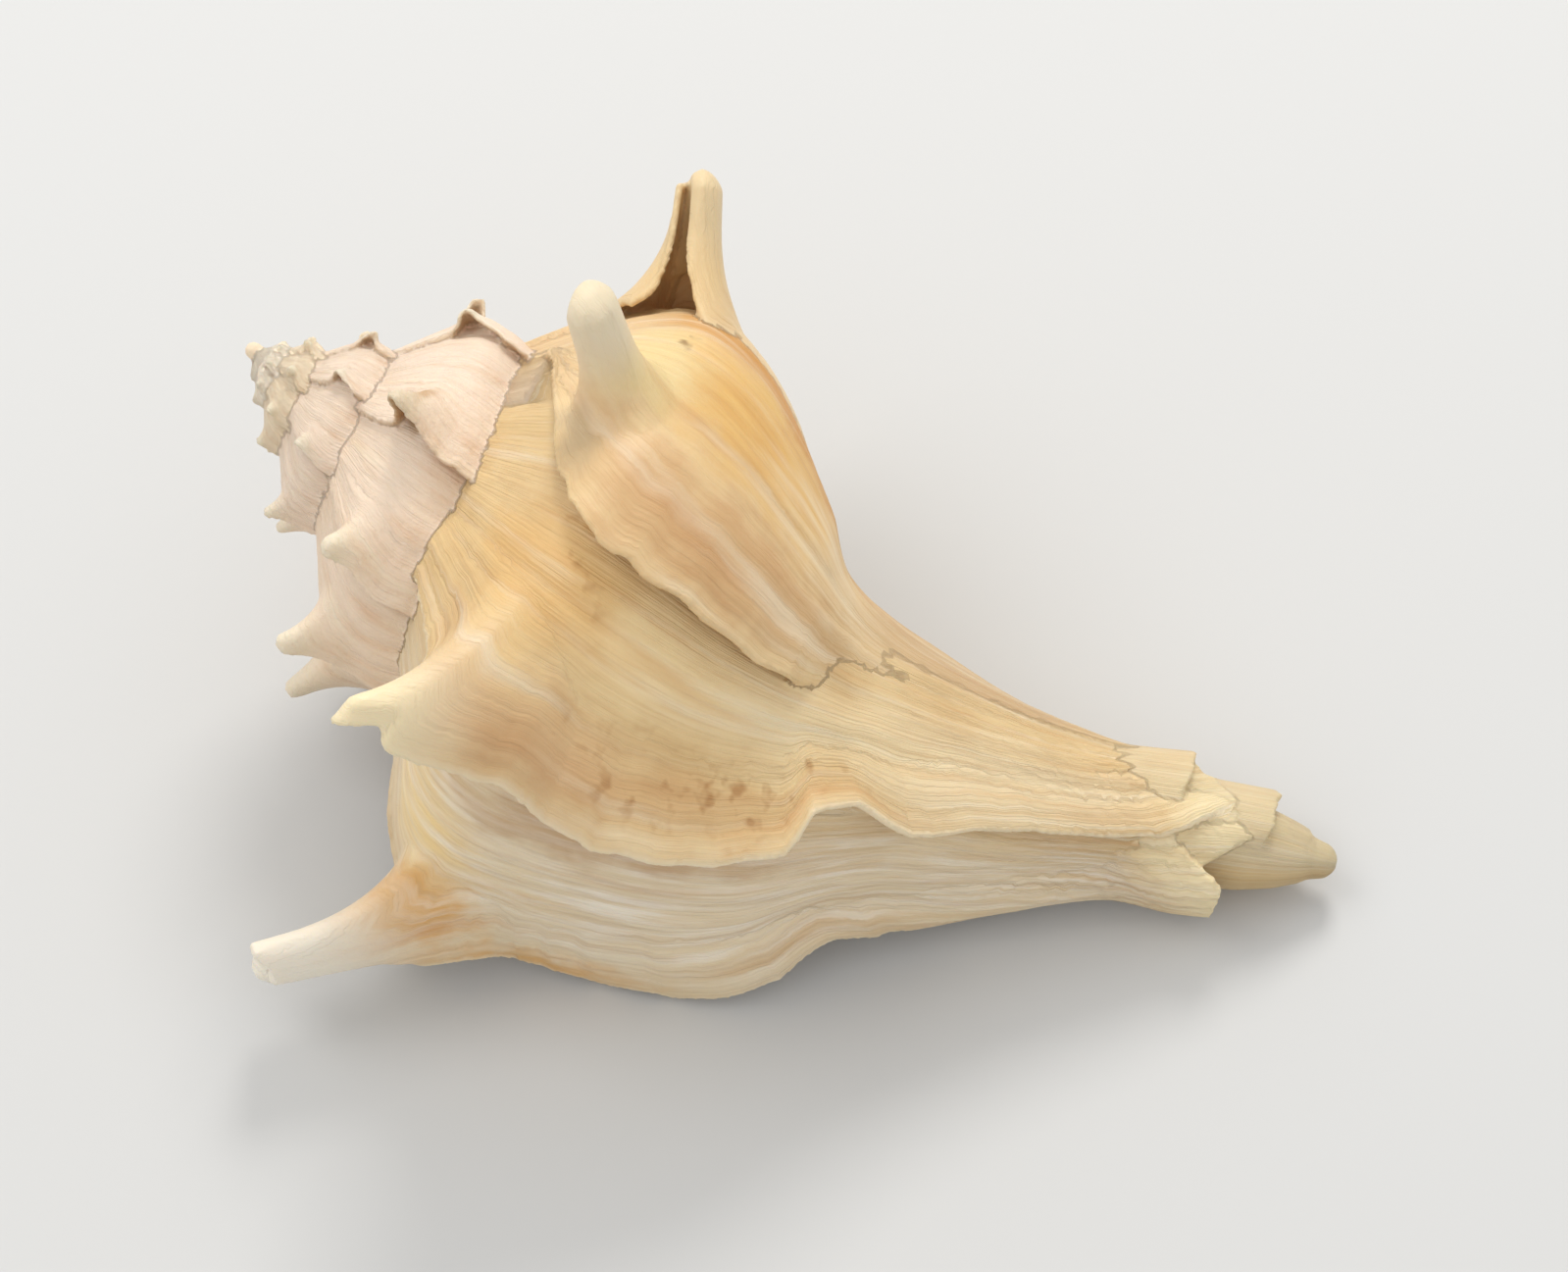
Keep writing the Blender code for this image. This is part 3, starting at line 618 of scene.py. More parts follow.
def room(angles, outer_count):
    end = np.interp(angles, REACH_ANGLES, ROOM_REACH)
    along = ROOM_FROM + (end[:, None] - ROOM_FROM) * np.linspace(0, 1, outer_count)[None, :]
    outer = outer_wall(angles, along)
    floor = floor_of_room(angles, outer)
    lag_out = lag_at(along)
    lag_in = np.stack([np.interp(inside[:, 1], outside[:, 1], lag)
                       for inside, outside, lag in zip(floor, outer, lag_out)])
    ring = np.concatenate([outer, floor], axis=1)
    lag = np.concatenate([lag_out, lag_in], axis=1)
    return turned(ring[..., 0], ring[..., 1], angles[:, None] + lag)


print("one ring of the room has", room(np.array([100.0]), 50).shape[1], "points")

# %% [markdown]
# ## The coil
# The skin of the coil runs round the outside of the shell from the first whorl to the lip. There
# it turns in and comes back as the wall of the room. Outside and room are one long tube of rings.
# It laps over itself turn on turn, which the remesh further on makes into one skin.

# %% The coil
HOLLOW_FROM = -150.0
TURN_STEP = 1.5
AXIS_RADIUS = 0.05


def whorls():
    places = np.append(np.arange(0, PLACES - 1, STEP), LAST_PLACE)
    angles = np.append(np.arange(FIRST_ANGLE, LIP_ANGLE, TURN_STEP), LIP_ANGLE)
    points, normals = outline(angles, places)
    ages = age_at(angles, places)
    height = swell(angles, places)
    height = height + relief(ages, places[None, :] + 0 * ages, size_at(angles)[:, None])
    points = points + normals * height[..., None]
    skin = turned(points[..., 0], points[..., 1], angles[:, None] + lag_at(places)[None, :])
    share = np.linspace(1, 0, PILLAR_POINTS)[None, :]
    axial = points[:, :1, 1] + (points[:, -1:, 1] - points[:, :1, 1]) * share
    middle = turned(AXIS_RADIUS + 0 * axial, axial, angles[:, None] + 0 * axial)
    inward = np.arange(LIP_ANGLE, HOLLOW_FROM, -TURN_STEP * 2)
    rings = np.concatenate([np.concatenate([skin, middle], axis=1), room(inward, len(places))])
    facts = np.zeros((len(rings), rings.shape[1], 5))
    facts[..., 1] = np.concatenate([places, np.linspace(PLACES - 1, 0, PILLAR_POINTS)])
    facts[..., 0] = np.concatenate([angles, inward])[:, None]
    facts[:len(angles), :len(places), 0] = ages
    facts[len(angles):, :, 4] = 1
    return tube(bent(rings), facts)


coil = whorls()
print("the coil has", len(coil[1]), "faces")

# %% [markdown]
# ## The canal and its worn ends
# The canal carries water to the animal. Each time it rested it built a new canal over the old
# one, and the old ends stay outside as broken steps. The pillar under them is a tube of rings,
# written as pairs of distance from the apex and radius.

# %% Pillar of the canal
PILLAR = ((92, 1.0), (98, 2.0), (104, 4.4), (108, 5.0), (112, 4.6), (115.6, 3.7), (118.3, 2.6),
          (118.6, 2.2), (120.6, 1.7), (121.4, 0.8))
AGE_OF_CANAL = 56


def canal():
    axial, radius = np.array(PILLAR).T
    fine = np.linspace(axial[0], axial[-1], 90)
    wide = np.interp(fine, axial, radius)
    around = np.arange(0, 360, 6.0)
    rings = turned(wide[:, None] + 0 * around, fine[:, None] + 0 * around, around[None, :])
    facts = np.zeros((len(fine), len(around), 5))
    facts[..., 0] = around[None, :] + AGE_OF_CANAL
    facts[..., 1] = 11.5
    return tube(bent(rings), facts)


pillar = canal()
print("the pillar has", len(pillar[1]), "faces")

# %% [markdown]
# ## The worn steps
# Each step is a sheet part of the way round the pillar. It dips at both sides, and its edge
# wanders as broken shell does. The numbers are where it starts and ends, its two radii, the
# middle of its arc and half its arc.

# %% Worn steps of the canal
COLLARS = ((94.0, 105.2, 7.3, 8.2, 0.0, 75.0), (103.5, 114.6, 5.9, 6.0, 10.0, 80.0),
           (114.0, 118.5, 3.9, 2.8, 10.0, 100.0))
DIP, EDGE_WANDER, COLLAR_WALL = 1.6, 0.5, 0.8


def collar(x_from, x_to, r_from, r_to, middle, half):
    share = np.linspace(0, 1, 60)[:, None]
    across = np.linspace(-1, 1, 90)[None, :]
    ends = x_to - DIP * across**4 + EDGE_WANDER * wander(across * 5 + x_to, 0 * across, 21)
    axial = x_from + (ends - x_from) * share
    radial = r_from + (r_to - r_from) * share**1.5 - DIP * across**6
    degrees = middle + half * across + 0 * share
    facts = np.zeros((*degrees.shape, 3))
    facts[..., 0] = degrees + AGE_OF_CANAL
    facts[..., 1] = np.interp(axial, (90, 114), (10.5, 12))
    top = turned(radial, axial, degrees)
    under = turned(radial - COLLAR_WALL, axial - 0.2 * share, degrees)
    return closed_sheet(bent(top), bent(under), facts)


steps = [collar(*numbers) for numbers in COLLARS]
print(len(steps), "worn steps")

# %% [markdown]
# ## The first whorl
# A snail hatches with a tiny round shell. It is still there at the very tip of the spire.

# %% First whorl
BUD_RADIUS, BUD_AT = 0.95, 0.5


def first_whorl():
    along = np.radians(np.arange(0.5, 180, 10))
    around = np.arange(0, 360, 15.0)
    rings = turned(BUD_RADIUS * np.sin(along)[:, None] + 0 * around,
                   BUD_AT - BUD_RADIUS * np.cos(along)[:, None] + 0 * around, around[None, :])
    facts = np.zeros((len(along), len(around), 5))
    facts[..., 0] = FIRST_ANGLE
    facts[..., 1] = 2.0
    return tube(rings, facts)


bud = first_whorl()
print("the first whorl is", round(2 * BUD_RADIUS, 1), "mm across")

# %% [markdown]
# ## All the sheets in one mesh
# The coil, the blades and the canal overlap freely. They are put in one mesh here and stay
# separate skins until the next step. Boolean unions of so many thin sheets would be slow, and
# fail where two lie close together.

# %% One mesh of loose sheets
def quad_mesh(name, points, quads):
    mesh = bpy.data.meshes.new(name)
    mesh.vertices.add(len(points))
    mesh.vertices.foreach_set("co", (points * MM).ravel())
    three = quads[:, 2] == quads[:, 3]
    lengths = np.where(three, 3, 4)
    kept = np.repeat(~three, 4) | np.tile([True, True, True, False], len(quads))
    loops = quads.ravel()[kept]
    mesh.loops.add(len(loops))
    mesh.loops.foreach_set("vertex_index", loops)
    mesh.polygons.add(len(quads))
    mesh.polygons.foreach_set("loop_start", np.cumsum(lengths) - lengths)
    mesh.update(calc_edges=True)
    obj = bpy.data.objects.new(name, mesh)
    bpy.context.scene.collection.objects.link(obj)
    return obj


sheets = [coil, pillar, bud] + blades + steps
starts = np.cumsum([0] + [len(sheet[0]) for sheet in sheets])
points = np.concatenate([sheet[0] for sheet in sheets])
quads = np.concatenate([sheet[1] + start for sheet, start in zip(sheets, starts)])
facts = np.concatenate([sheet[2] for sheet in sheets])
shell = quad_mesh("shell", points, quads)
bpy.context.view_layer.update()
sheet_tree = BVHTree.FromObject(shell, bpy.context.evaluated_depsgraph_get())
print(len(sheets), "sheets joined,", len(quads), "faces")

# %% [markdown]
# ## One skin
# A Remesh modifier in voxel mode fills whatever lies inside any of the sheets with small cubes
# and wraps one closed skin round them. Cubes of a third of a millimetre keep the thin blades
# whole.

# %% Fuse the sheets into one skin
VOXEL = 0.32
TRIANGLES = 190000


def apply(obj, kind, **settings):
    modifier = obj.modifiers.new(kind.title(), kind)
    for name, value in settings.items():
        setattr(modifier, name, value)
    bpy.context.view_layer.objects.active = obj
    bpy.ops.object.modifier_apply(modifier=modifier.name)


bpy.ops.object.select_all(action="DESELECT")
shell.select_set(True)
apply(shell, "REMESH", mode="VOXEL", voxel_size=VOXEL * MM, adaptivity=0.0)
print("the fused skin has", len(shell.data.polygons), "faces")

# %% [markdown]
# ## Scraps and cube steps
# Some scraps float free of the shell. Points that share an edge take each other's lowest number
# until nothing changes, so each island ends with one number, and only the largest is kept. Three
# rounds of Smooth take the cube pattern away, and Decimate thins the flat parts out.

# %% Drop the loose scraps
def keep_largest(obj):
    mesh = obj.data
    pairs = np.empty(len(mesh.edges) * 2, int)
    mesh.edges.foreach_get("vertices", pairs)
    pairs = pairs.reshape(-1, 2)
    label = np.arange(len(mesh.vertices))
    before = None
    while before is None or (label != before).any():
        before = label
        low = np.minimum(label[pairs[:, 0]], label[pairs[:, 1]])
        label = label.copy()
        np.minimum.at(label, pairs[:, 0], low)
        np.minimum.at(label, pairs[:, 1], low)
        label = label[label]
    names, counts = np.unique(label, return_counts=True)
    loose = np.nonzero(label != names[counts.argmax()])[0]
    work = bmesh.new()
    work.from_mesh(mesh)
    work.verts.ensure_lookup_table()
    bmesh.ops.delete(work, geom=[work.verts[int(i)] for i in loose], context="VERTS")
    work.to_mesh(mesh)
    work.free()
    return len(names) - 1


print(keep_largest(shell), "loose scraps dropped")
apply(shell, "SMOOTH", factor=0.5, iterations=3)
apply(shell, "TRIANGULATE")
apply(shell, "DECIMATE", ratio=TRIANGLES / len(shell.data.polygons))
shell.data.polygons.foreach_set("use_smooth", [True] * len(shell.data.polygons))
print("the shell has", len(shell.data.polygons), "triangles")

# %% [markdown]
# ## Facts for painting
# The fused skin has forgotten where it came from. Each of its points looks up the nearest spot of
# the loose sheets and takes the five facts from there. They are stored as attributes, which a
# material can read, so paint follows growth and nothing slides when the shell is moved.

# %% Facts for painting
co = np.empty(len(shell.data.vertices) * 3)
shell.data.vertices.foreach_get("co", co)
hits = [sheet_tree.find_nearest(Vector(at)) for at in co.reshape(-1, 3).tolist()]
spot = np.array([hit[0][:] for hit in hits]) / MM
corner = quads[[hit[2] for hit in hits]]


def share_along(corner_from, corner_to):
    side = points[corner_to] - points[corner_from]
    part = ((spot - points[corner_from]) * side).sum(1) / ((side**2).sum(1) + 1e-12)
    return np.clip(part, 0, 1)[:, None]


across = share_along(corner[:, 0], corner[:, 1])
down = share_along(corner[:, 0], corner[:, 3])
known = facts[corner]
fact = (known[:, 0] * (1 - across) * (1 - down) + known[:, 1] * across * (1 - down)
        + known[:, 2] * across * down + known[:, 3] * (1 - across) * down)
for number, name in enumerate(("age", "place", "spine", "under", "inside")):
    layer = shell.data.attributes.new(name, "FLOAT", "POINT")
    layer.data.foreach_set("value", fact[:, number].astype(np.float32))
    print(name, "runs from", fact[:, number].min().round(1), "to", fact[:, number].max().round(1))

# %% [markdown]
# ## How it lies
# The shell lies mouth down. Its mesh is turned and set down by the same move as the CAD shell,
# and the object itself stays at the origin, unturned.

# %% Lay the shell on the table
REST_DEGREES = (24.1, 18.7)
SET_DOWN = Vector((-0.057141, 0.006538, 0.034957))
rest = (Matrix.Translation(SET_DOWN) @ Matrix.Rotation(math.radians(REST_DEGREES[1]), 4, "Y")
        @ Matrix.Rotation(math.radians(REST_DEGREES[0]), 4, "X"))
shell.data.transform(rest)
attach(shell, "root")
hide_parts("murex_shell")
print("the shell's size in mm:", [round(1000 * side, 1) for side in shell.dimensions])

# %% [markdown]
# ## Paint: small helpers
# The shell is cream and golden outside, with orange and brown where a blade's foot ends and
# chalky white where it has worn. Image textures could hold this, but the paint here is worked out
# from the five facts, so it stays sharp at any distance.
#
# The helpers turn a colour code into Blender's numbers, add a node with its values or links, and
# start a node group with named sockets.

# %% Helpers for paint
def paint(code):
    values = [int(code[i:i + 2], 16) / 255 for i in (0, 2, 4)]
    return tuple(v / 12.92 if v <= 0.04045 else ((v + 0.055) / 1.055) ** 2.4
                 for v in values) + (1.0,)


def add(tree, kind, inputs=None, **settings):
    node = tree.nodes.new("ShaderNode" + kind)
    for name, value in settings.items():
        setattr(node, name, value)
    for key, value in (inputs or {}).items():
        if isinstance(value, bpy.types.NodeSocket):
            tree.links.new(value, node.inputs[key])
        else:
            node.inputs[key].default_value = value
    return node


def group(name, takes, gives):
    tree = bpy.data.node_groups.new(name, "ShaderNodeTree")
    for socket, kind in takes:
        tree.interface.new_socket(socket, in_out="INPUT", socket_type=kind)
    for socket, kind in gives:
        tree.interface.new_socket(socket, in_out="OUTPUT", socket_type=kind)
    return tree, tree.nodes.new("NodeGroupInput").outputs, tree.nodes.new("NodeGroupOutput").inputs


print("cream is", [round(v, 2) for v in paint("e4c690")])

# %% [markdown]
# ## Paint: a patch
# Two effects come back many times, so each is a node group. The first is a patch, a soft-edged
# oval at one age and place. Painting by hand could do it, but not follow growth.

# %% Node group for a patch
patches, given, result = group(
    "growth patch", [("Growth", "NodeSocketVector"), ("Middle", "NodeSocketVector"),
                     ("Reach", "NodeSocketVector"), ("Amount", "NodeSocketFloat")],
    [("Mask", "NodeSocketFloat")])
away = add(patches, "VectorMath", {0: given["Growth"], 1: given["Middle"]}, operation="SUBTRACT")
scaled = add(patches, "VectorMath", {0: away.outputs[0], 1: given["Reach"]}, operation="DIVIDE")
size = add(patches, "VectorMath", {0: scaled.outputs[0]}, operation="LENGTH")
mask = add(patches, "MapRange", {"Value": size.outputs["Value"], "From Min": 1.25, "From Max": 0.3,
                                 "To Min": 0.0, "To Max": given["Amount"]},
           interpolation_type="SMOOTHSTEP")
patches.links.new(mask.outputs[0], result["Mask"])
print(patches.name, "has", len(patches.nodes), "nodes")

# %% [markdown]
# ## Paint: streaks
# Streaks are noise read along growth. The scale is small along the lip and large across it, so
# the noise is drawn out into lines.

# %% Node group for streaks
streaks, given, result = group(
    "growth streaks", [("Growth", "NodeSocketVector"), ("Scale", "NodeSocketVector"),
                       ("From", "NodeSocketFloat"), ("To", "NodeSocketFloat")],
    [("Value", "NodeSocketFloat")])
scaled = add(streaks, "VectorMath", {0: given["Growth"], 1: given["Scale"]}, operation="MULTIPLY")
noise = add(streaks, "TexNoise", {"Vector": scaled.outputs[0], "Scale": 1.0, "Detail": 3.0,
                                  "Roughness": 0.55})
mask = add(streaks, "MapRange", {"Value": noise.outputs["Fac"], "From Min": given["From"],
                                 "From Max": given["To"]}, interpolation_type="SMOOTHSTEP")
streaks.links.new(mask.outputs[0], result["Value"])
print(streaks.name, "has", len(streaks.nodes), "nodes")

# %% [markdown]
# ## Paint: reading the facts
# Age and place together say where a spot is on the growing shell, so they make the coordinate
# for patches and streaks. The patches read it with a little noise added, which frays their edges.

# %% Start the material
old_shell = bpy.data.materials.new("old shell")
old_shell.use_nodes = True
nodes = old_shell.node_tree
surface = nodes.nodes["Principled BSDF"]


def calc(operation, a, b):
    return add(nodes, "Math", {0: a, 1: b}, operation=operation).outputs[0]


def clouds(scale, detail, roughness=0.5):
    return add(nodes, "TexNoise", {"Vector": where, "Scale": scale, "Detail": detail,
                                   "Roughness": roughness}).outputs


def ramp(value, low, high, to_low=0.0, to_high=1.0, kind="LINEAR"):
    return add(nodes, "MapRange", {"Value": value, "From Min": low, "From Max": high,
                                   "To Min": to_low, "To Max": to_high},
               interpolation_type=kind).outputs[0]


told = {name: add(nodes, "Attribute", attribute_name=name).outputs["Fac"]
        for name in ("age", "place", "spine", "under", "inside")}
where = add(nodes, "TexCoord").outputs["Object"]
growth = add(nodes, "CombineXYZ", {"X": told["age"], "Y": told["place"], "Z": 0.0}).outputs[0]
cloud = clouds(90.0, 4.0, 0.6)["Fac"]
cloudy = ramp(cloud, 0.35, 0.65)
offset = clouds(130.0, 3.0, 0.6)["Color"]
for operation, by in (("SUBTRACT", (0.5, 0.5, 0.5)), ("MULTIPLY", (14.0, 1.8, 0.0))):
    offset = add(nodes, "VectorMath", {0: offset, 1: by}, operation=operation).outputs[0]
frayed = add(nodes, "VectorMath", {0: growth, 1: offset}, operation="ADD").outputs[0]
spire = calc("LESS_THAN", told["age"], -40.0)
print("the material reads", ", ".join(told))

# %% [markdown]
# ## Paint: short words
# A patch, a streak and a tint come back in every step from here on, so each gets a short word. A
# tint lays a colour over what is there, by all its shares multiplied.

# %% Short words for masks and tints
def patch(middle, reach, amount):
    node = add(nodes, "Group", {"Growth": frayed}, node_tree=patches)
    node.inputs["Middle"].default_value = (*middle, 0)
    node.inputs["Reach"].default_value = (*reach, 1)
    node.inputs["Amount"].default_value = amount
    return node.outputs[0]


def streak(scale, low, high):
    node = add(nodes, "Group", {"Growth": growth}, node_tree=streaks)
    node.inputs["Scale"].default_value = (*scale, 1)
    node.inputs["From"].default_value = low
    node.inputs["To"].default_value = high
    return node.outputs[0]


def tint(under, code, *shares, blend="MIX"):
    share = shares[0]
    for other in shares[1:]:
        share = calc("MULTIPLY", share, other)
    return add(nodes, "Mix", {0: share, 6: under, 7: paint(code)}, data_type="RGBA",
               blend_type=blend).outputs[2]


print("short words: patch, streak, tint")

# %% [markdown]
# ## Paint: ground colour and the old whorls
# Warm cream and a slightly darker tan are mixed in soft clouds. The spire has bleached: the
# whorls behind the last turn are pinkish, and the tip is nearly white.

# %% Ground colour and spire
EARLY = (
    ("pinkish early whorls", "f0dac4", 0.95, (-480, 3.0), (520, 16.0)),
    ("white top", "f7ead5", 0.95, (-1560, 3.0), (760, 18.0)),
    # A brown patch lies on the little tongue of the spire.
    ("brown on the little tongue", "b98d55", 0.8, (-286, 2.4), (8, 0.5)),
)
colour = tint(paint("e4c690"), "d8b67e", cloudy)
for name, shade, amount, middle, reach in EARLY:
    colour = tint(colour, shade, patch(middle, reach, amount))
    print(name, shade)

# %% [markdown]
# ## Paint: the colours of the last turn
# Each zone has a name, a colour, an amount and an oval, given as age and place with a reach in
# both. Broad streaks break the ovals up, so that no edge looks drawn. Two zones are painted
# shade: the shadow under the hood and the shade in the fold of the tongue.

# %% Zones of the last turn
ZONES = (
    ("chalky last step", "e4d2b2", 0.95, (150, 5.0), (34, 9.0)),
    ("tan canal", "c9a87c", 0.85, (34, 9.2), (30, 2.6)),
    ("pale canal", "e2cda6", 0.85, (100, 9.0), (26, 2.4)),
    ("orange by the oldest edge", "cf9340", 1.0, (20, 4.8), (12, 3.0)),
    ("yellow middle", "e2b565", 0.9, (36, 4.4), (9, 2.4)),
    ("brown by the tongue", "c79a66", 0.65, (50, 4.4), (5.5, 3.0)),
    ("cream by the spine", "e2ca92", 1.0, (36, 2.5), (9, 1.0)),
    ("buff ramp", "d6b883", 0.8, (66, 1.8), (12, 2.2)),
    ("yellow shoulder", "deb473", 0.9, (92, 2.6), (12, 1.6)),
    ("old rose by the hood", "cba378", 0.65, (111, 3.1), (7, 2.2)),
    ("pale side", "f0d9ab", 0.9, (94, 6.8), (14, 2.0)),
    ("pale middle of the back", "f2d7a2", 0.85, (97, 4.4), (9, 1.3)),
    # Painted shade: grey-brown in the curled fold of the tongue.
    ("painted shade in the fold of the tongue", "b8a07d", 0.75, (54, 2.0), (5, 0.5)),
    ("rusty rim of the hood", "cf9c5e", 0.3, (113, 5.0), (5, 2.2)),
    # Painted shadow: warm brown on the whorl under the hood's overhanging edge.
    ("painted shadow under the hood", "c09768", 0.7, (134, 4.6), (5, 2.4)),
    ("golden flank", "f1d396", 1.0, (148, 2.1), (14, 1.6)),
    ("orange spine foot", "d9a55c", 1.0, (161, 3.0), (8, 0.7)),
    ("orange belly edge", "d9a24f", 0.8, (171, 4.2), (6, 1.0)),
    ("canal end", "f2dfb2", 0.95, (110, 11.9), (80, 1.1)),
)
broken = calc("ADD", calc("MULTIPLY", streak((0.18, 0.30), 0.25, 0.60), 0.35), 0.65)
for name, shade, amount, middle, reach in ZONES:
    colour = tint(colour, shade, patch(middle, reach, amount), broken)
print(len(ZONES), "zones from the", ZONES[0][0], "to the", ZONES[-1][0])

# %% [markdown]
# ## Paint: growth streaks
# Broad warm and pale streaks follow the growth lines, and fine brown ones lie over them in the
# darker clouds. They are multiplied or mixed in weakly, because real streaks only tint. The last
# step has stood out most and weathered most, so chalky and greyish streaks are added there.

# %% Growth streaks
colour = tint(colour, "d8a660", streak((0.25, 0.35), 0.46, 0.78), 0.34, blend="MULTIPLY")
colour = tint(colour, "f4e8cd", streak((0.25, 0.25), 0.50, 0.75), 0.45)
fine = calc("MULTIPLY", streak((1.3, 0.45), 0.42, 0.72),
            calc("SUBTRACT", 1.0, calc("MULTIPLY", spire, 0.6)))
colour = tint(colour, "bd935c", fine, cloudy, 0.22, blend="MULTIPLY")
colour = tint(colour, "faf3e6", streak((0.55, 0.9), 0.40, 0.66), patch((146, 6.5), (26, 7.5), 0.6),
              calc("ADD", calc("MULTIPLY", cloudy, 0.7), 0.3))
colour = tint(colour, "b59c80", streak((0.8, 0.7), 0.46, 0.72), patch((146, 6.0), (26, 6.0), 0.35))
print("five kinds of streak")

# %% [markdown]
# ## Paint: flecks and pits
# Brown flecks lie by the hood's edge, and small rusty pits on the canal and under the split
# spine. A fine noise breaks each patch into specks.

# %% Flecks and pits
STAINS = (
    ("flecks by the hood's edge", "ad7a42", 0.75, (110, 5.4), (6, 1.8)),
    ("pits on the canal", "a8713a", 0.9, (87, 10.6), (5, 0.5)),
    ("pits under the split spine", "8d6a3c", 0.9, (32, 3.0), (2.5, 0.22)),
    ("rust in the shoulder", "b5854a", 0.7, (86, 3.0), (10, 0.6)),
)
specked = ramp(clouds(420.0, 2.0)["Fac"], 0.54, 0.66)
for name, shade, amount, middle, reach in STAINS:
    colour = tint(colour, shade, patch(middle, reach, amount), specked)
    print(name)

# %% [markdown]
# ## Paint: pale rims
# The free edges of the two newest blades have chipped and are whiter than the rest. Along an edge
# the age is the age of its varix, so the rim is where the two are nearly equal.

# %% Pale rims
for varix_age in (HOOD_VARIX["at"], LIP_VARIX["at"]):
    from_edge = calc("ABSOLUTE", calc("SUBTRACT", told["age"], varix_age), 0.0)
    colour = tint(colour, "f2e6cc", ramp(from_edge, 1.3, 0.1, to_high=0.5))
    print("pale rim at age", varix_age)

# %% [markdown]
# ## Paint: tips, under sides and the room
# Spines wear pale at their tips. The under sides of the blades are tinted a little greyer, and
# those of the spire's hoods are darkened brown as painted shade; the spire's sutures get painted
# shade too. The split spine holds specks of brown dirt on its under side. The room is nearly white.

# %% Tips, under sides and the room
tips = ramp(told["spine"], 0.2, 0.8, kind="SMOOTHSTEP")
colour = tint(colour, "e6dbc2", tips, 0.7)
colour = tint(colour, "f5eee0", tips, patch((168, 2.8), (16, 2.5), 0.7))
colour = tint(colour, "f6e2b4", tips, patch((116, 2.4), (10, 1.8), 0.6))
colour = tint(colour, "dcbd86", patch((0, 2.4), (15, 1.5), 0.6))
colour = tint(colour, "d9c19a", told["under"], 0.3)
# Painted shade: the under sides of the spire's hoods are darkened brown.
shade_under_spire_hoods = calc("MULTIPLY", calc("LESS_THAN", told["age"], -30.0),
                   calc("GREATER_THAN", told["age"], -700.0))
colour = tint(colour, "a37c4c", told["under"], shade_under_spire_hoods, 0.55)
colour = tint(colour, "a8793c", patch((2, 2.6), (9, 0.8), 1.0), specked, told["under"])
# Painted shade: the spire's sutures are darkened by multiplying a pinkish brown.
suture = ramp(told["place"], 0.4, 0.1, to_high=0.35, kind="SMOOTHSTEP")
colour = tint(colour, "c99f80", suture, spire, blend="MULTIPLY")
colour = tint(colour, "efe4d2", told["inside"], 0.8)
nodes.links.new(colour, surface.inputs["Base Color"])
print("the paint has", len(nodes.nodes), "nodes")

# %% [markdown]
# ## Gloss and fine texture
# Old shell is dull with some soft shine, and light goes a little way in before it comes out.
# The growth lines that are too fine for the mesh go in a Bump node, with a grain over them. The
# spire is years older than the lip and gets a coarser, worn grain as well.

# %% Gloss and fine texture
nodes.links.new(ramp(cloud, 0.3, 0.7, 0.42, 0.6), surface.inputs["Roughness"])
surface.inputs["Subsurface Weight"].default_value = 0.12
surface.inputs["Subsurface Radius"].default_value = (1.0, 0.6, 0.3)
surface.inputs["Subsurface Scale"].default_value = 0.002
height = calc("MULTIPLY", streak((1.3, 0.4), 0.3, 0.7), 0.55)
height = calc("ADD", height, calc("MULTIPLY", streak((4.0, 0.8), 0.3, 0.7), 0.10))
height = calc("ADD", height, calc("MULTIPLY", clouds(1500.0, 3.0)["Fac"], 0.25))
worn = calc("MULTIPLY", clouds(600.0, 4.0, 0.7)["Fac"], spire)
height = calc("ADD", height, calc("MULTIPLY", worn, 1.6))
bump = add(nodes, "Bump", {"Height": height, "Strength": 0.8, "Distance": 0.00018})
nodes.links.new(bump.outputs[0], surface.inputs["Normal"])
shell.data.materials.append(old_shell)
print(old_shell.name, "is on the shell")

# %% [markdown]
# ## The table
# One large plane, pale and dull, so that the shell's shadow is soft and its colours stay clean.

# %% Table
bpy.ops.mesh.primitive_plane_add(size=3.0)
table = bpy.context.object
table.name = "table"
pale_top = bpy.data.materials.new("pale table")
pale_top.use_nodes = True
dull = pale_top.node_tree.nodes["Principled BSDF"]
dull.inputs["Base Color"].default_value = (0.64, 0.64, 0.63, 1)
dull.inputs["Roughness"].default_value = 0.8
table.data.materials.append(pale_top)
print("table", table.dimensions[0], "m wide")

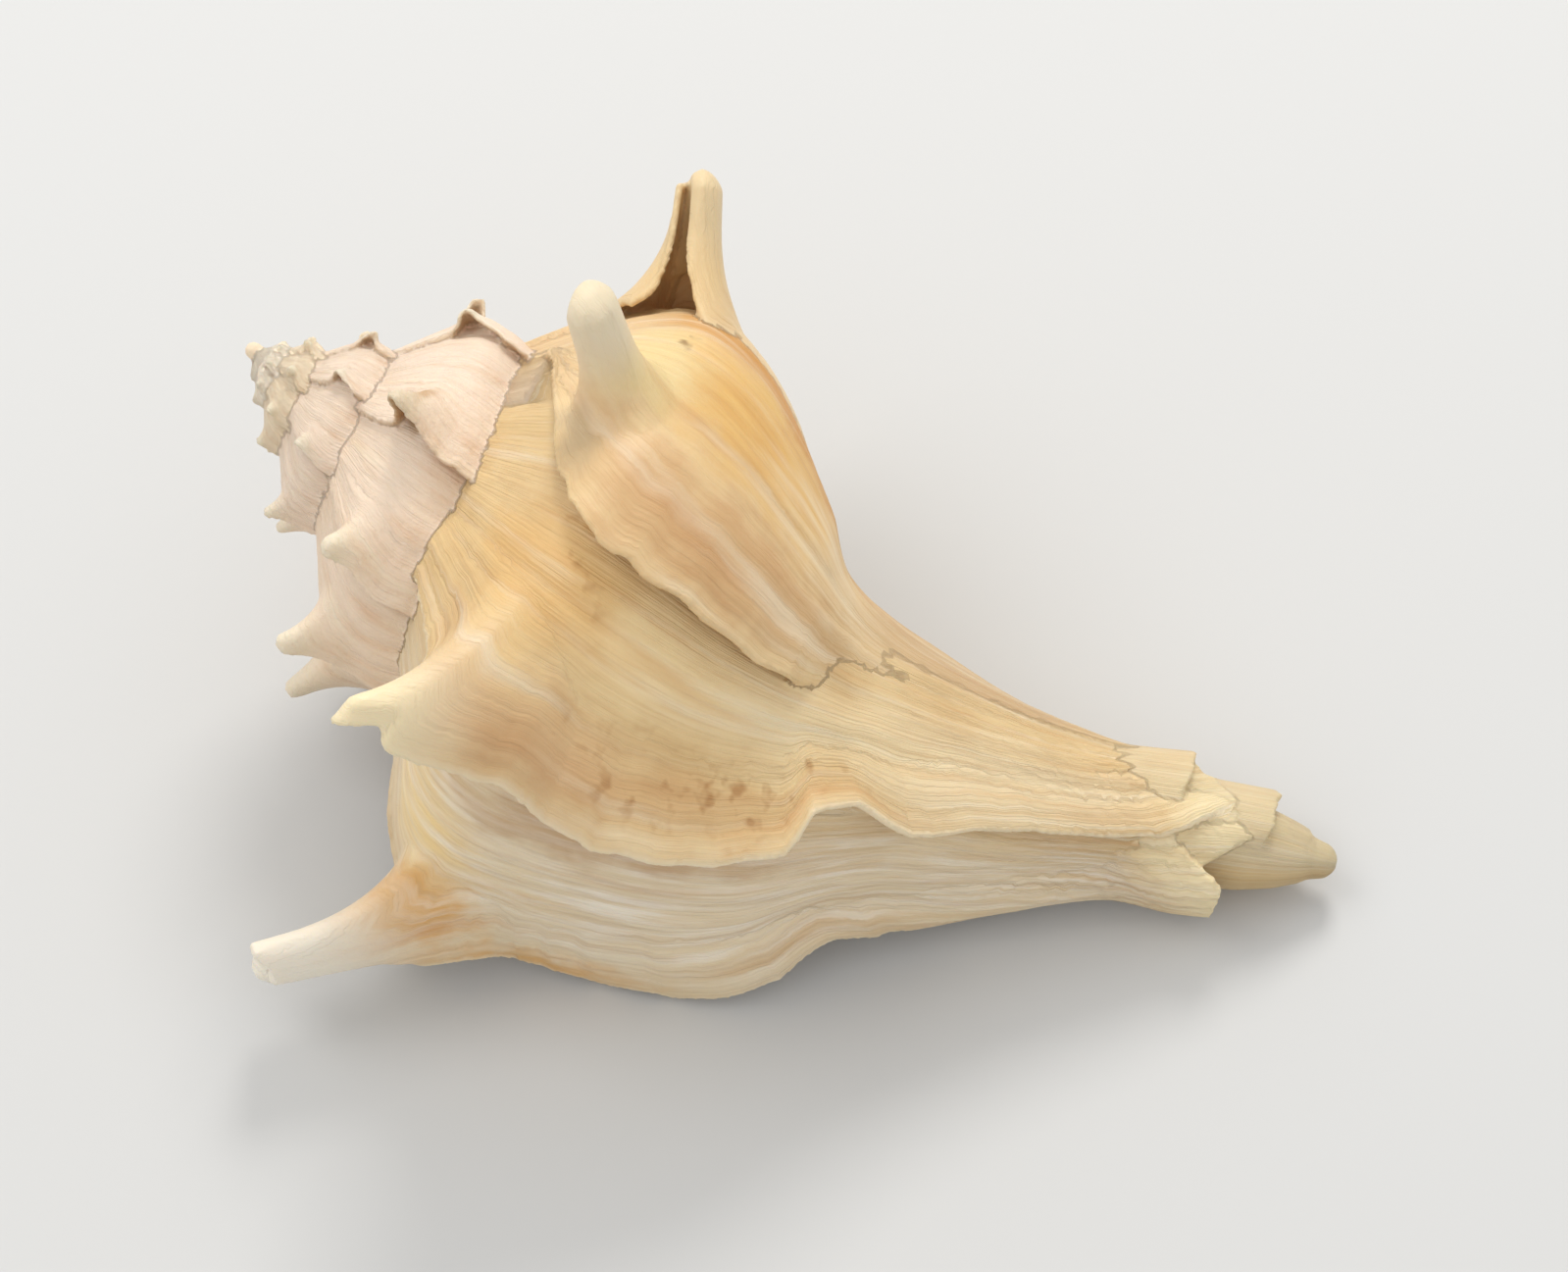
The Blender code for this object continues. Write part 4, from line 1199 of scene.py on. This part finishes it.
# %% [markdown]
# ## The camera
# The camera looks across the shell's axis from 380 mm away, turned by 34 degrees so that the
# apex is at the upper left. Its place is worked out in the frame of the coil's axis, and then it
# is turned and moved as the shell was.

# %% Camera
DISTANCE = 380.0
TURNED = math.radians(34)
RIGHT_OF_APEX, BELOW_APEX = 53.14, 28.65
right = Vector((math.cos(TURNED), math.sin(TURNED), 0))
up = Vector((-math.sin(TURNED), math.cos(TURNED), 0))
back = Vector((0, 0, 1))
pose = Matrix((right, up, back)).transposed().to_4x4()
pose.translation = (right * RIGHT_OF_APEX - up * BELOW_APEX + back * DISTANCE) * MM
lens = bpy.data.cameras.new("camera")
lens.sensor_width = 36
lens.lens = 87.66
lens.clip_start = 0.01
camera = bpy.data.objects.new("camera", lens)
bpy.context.scene.collection.objects.link(camera)
camera.matrix_world = rest @ pose
bpy.context.scene.camera = camera
print("the camera stands at", [round(v, 3) for v in camera.matrix_world.translation])

# %% [markdown]
# ## Soft studio light
# Two round soft boxes stand over the shell, a warm one at the back and a larger one at the spire's
# side. A plain white surround fills the shadows. The Standard view keeps paint colours as mixed.

# %% Lights
def softbox(name, at, size, watts, colour):
    light = bpy.data.lights.new(name, "AREA")
    light.shape = "DISK"
    light.size = size
    light.energy = watts
    light.color = colour
    lamp = bpy.data.objects.new(name, light)
    bpy.context.scene.collection.objects.link(lamp)
    lamp.location = at
    lamp.rotation_mode = "QUATERNION"
    lamp.rotation_quaternion = (Vector(at) - Vector((0, 0, 0.02))).to_track_quat("Z", "Y")


softbox("key", (-0.197, 0.588, 0.606), 0.3, 3.2, (1.0, 0.98, 0.95))
softbox("side", (-0.485, -0.077, 0.722), 0.5, 1.5, (1.0, 1.0, 1.0))
studio = bpy.data.worlds.new("studio")
studio.use_nodes = True
light = studio.node_tree.nodes["Background"].inputs
light["Color"].default_value = (1, 1, 1, 1)
light["Strength"].default_value = 0.8
bpy.context.scene.world = studio
bpy.context.scene.view_settings.view_transform = "Standard"
print("two soft boxes and a white surround")
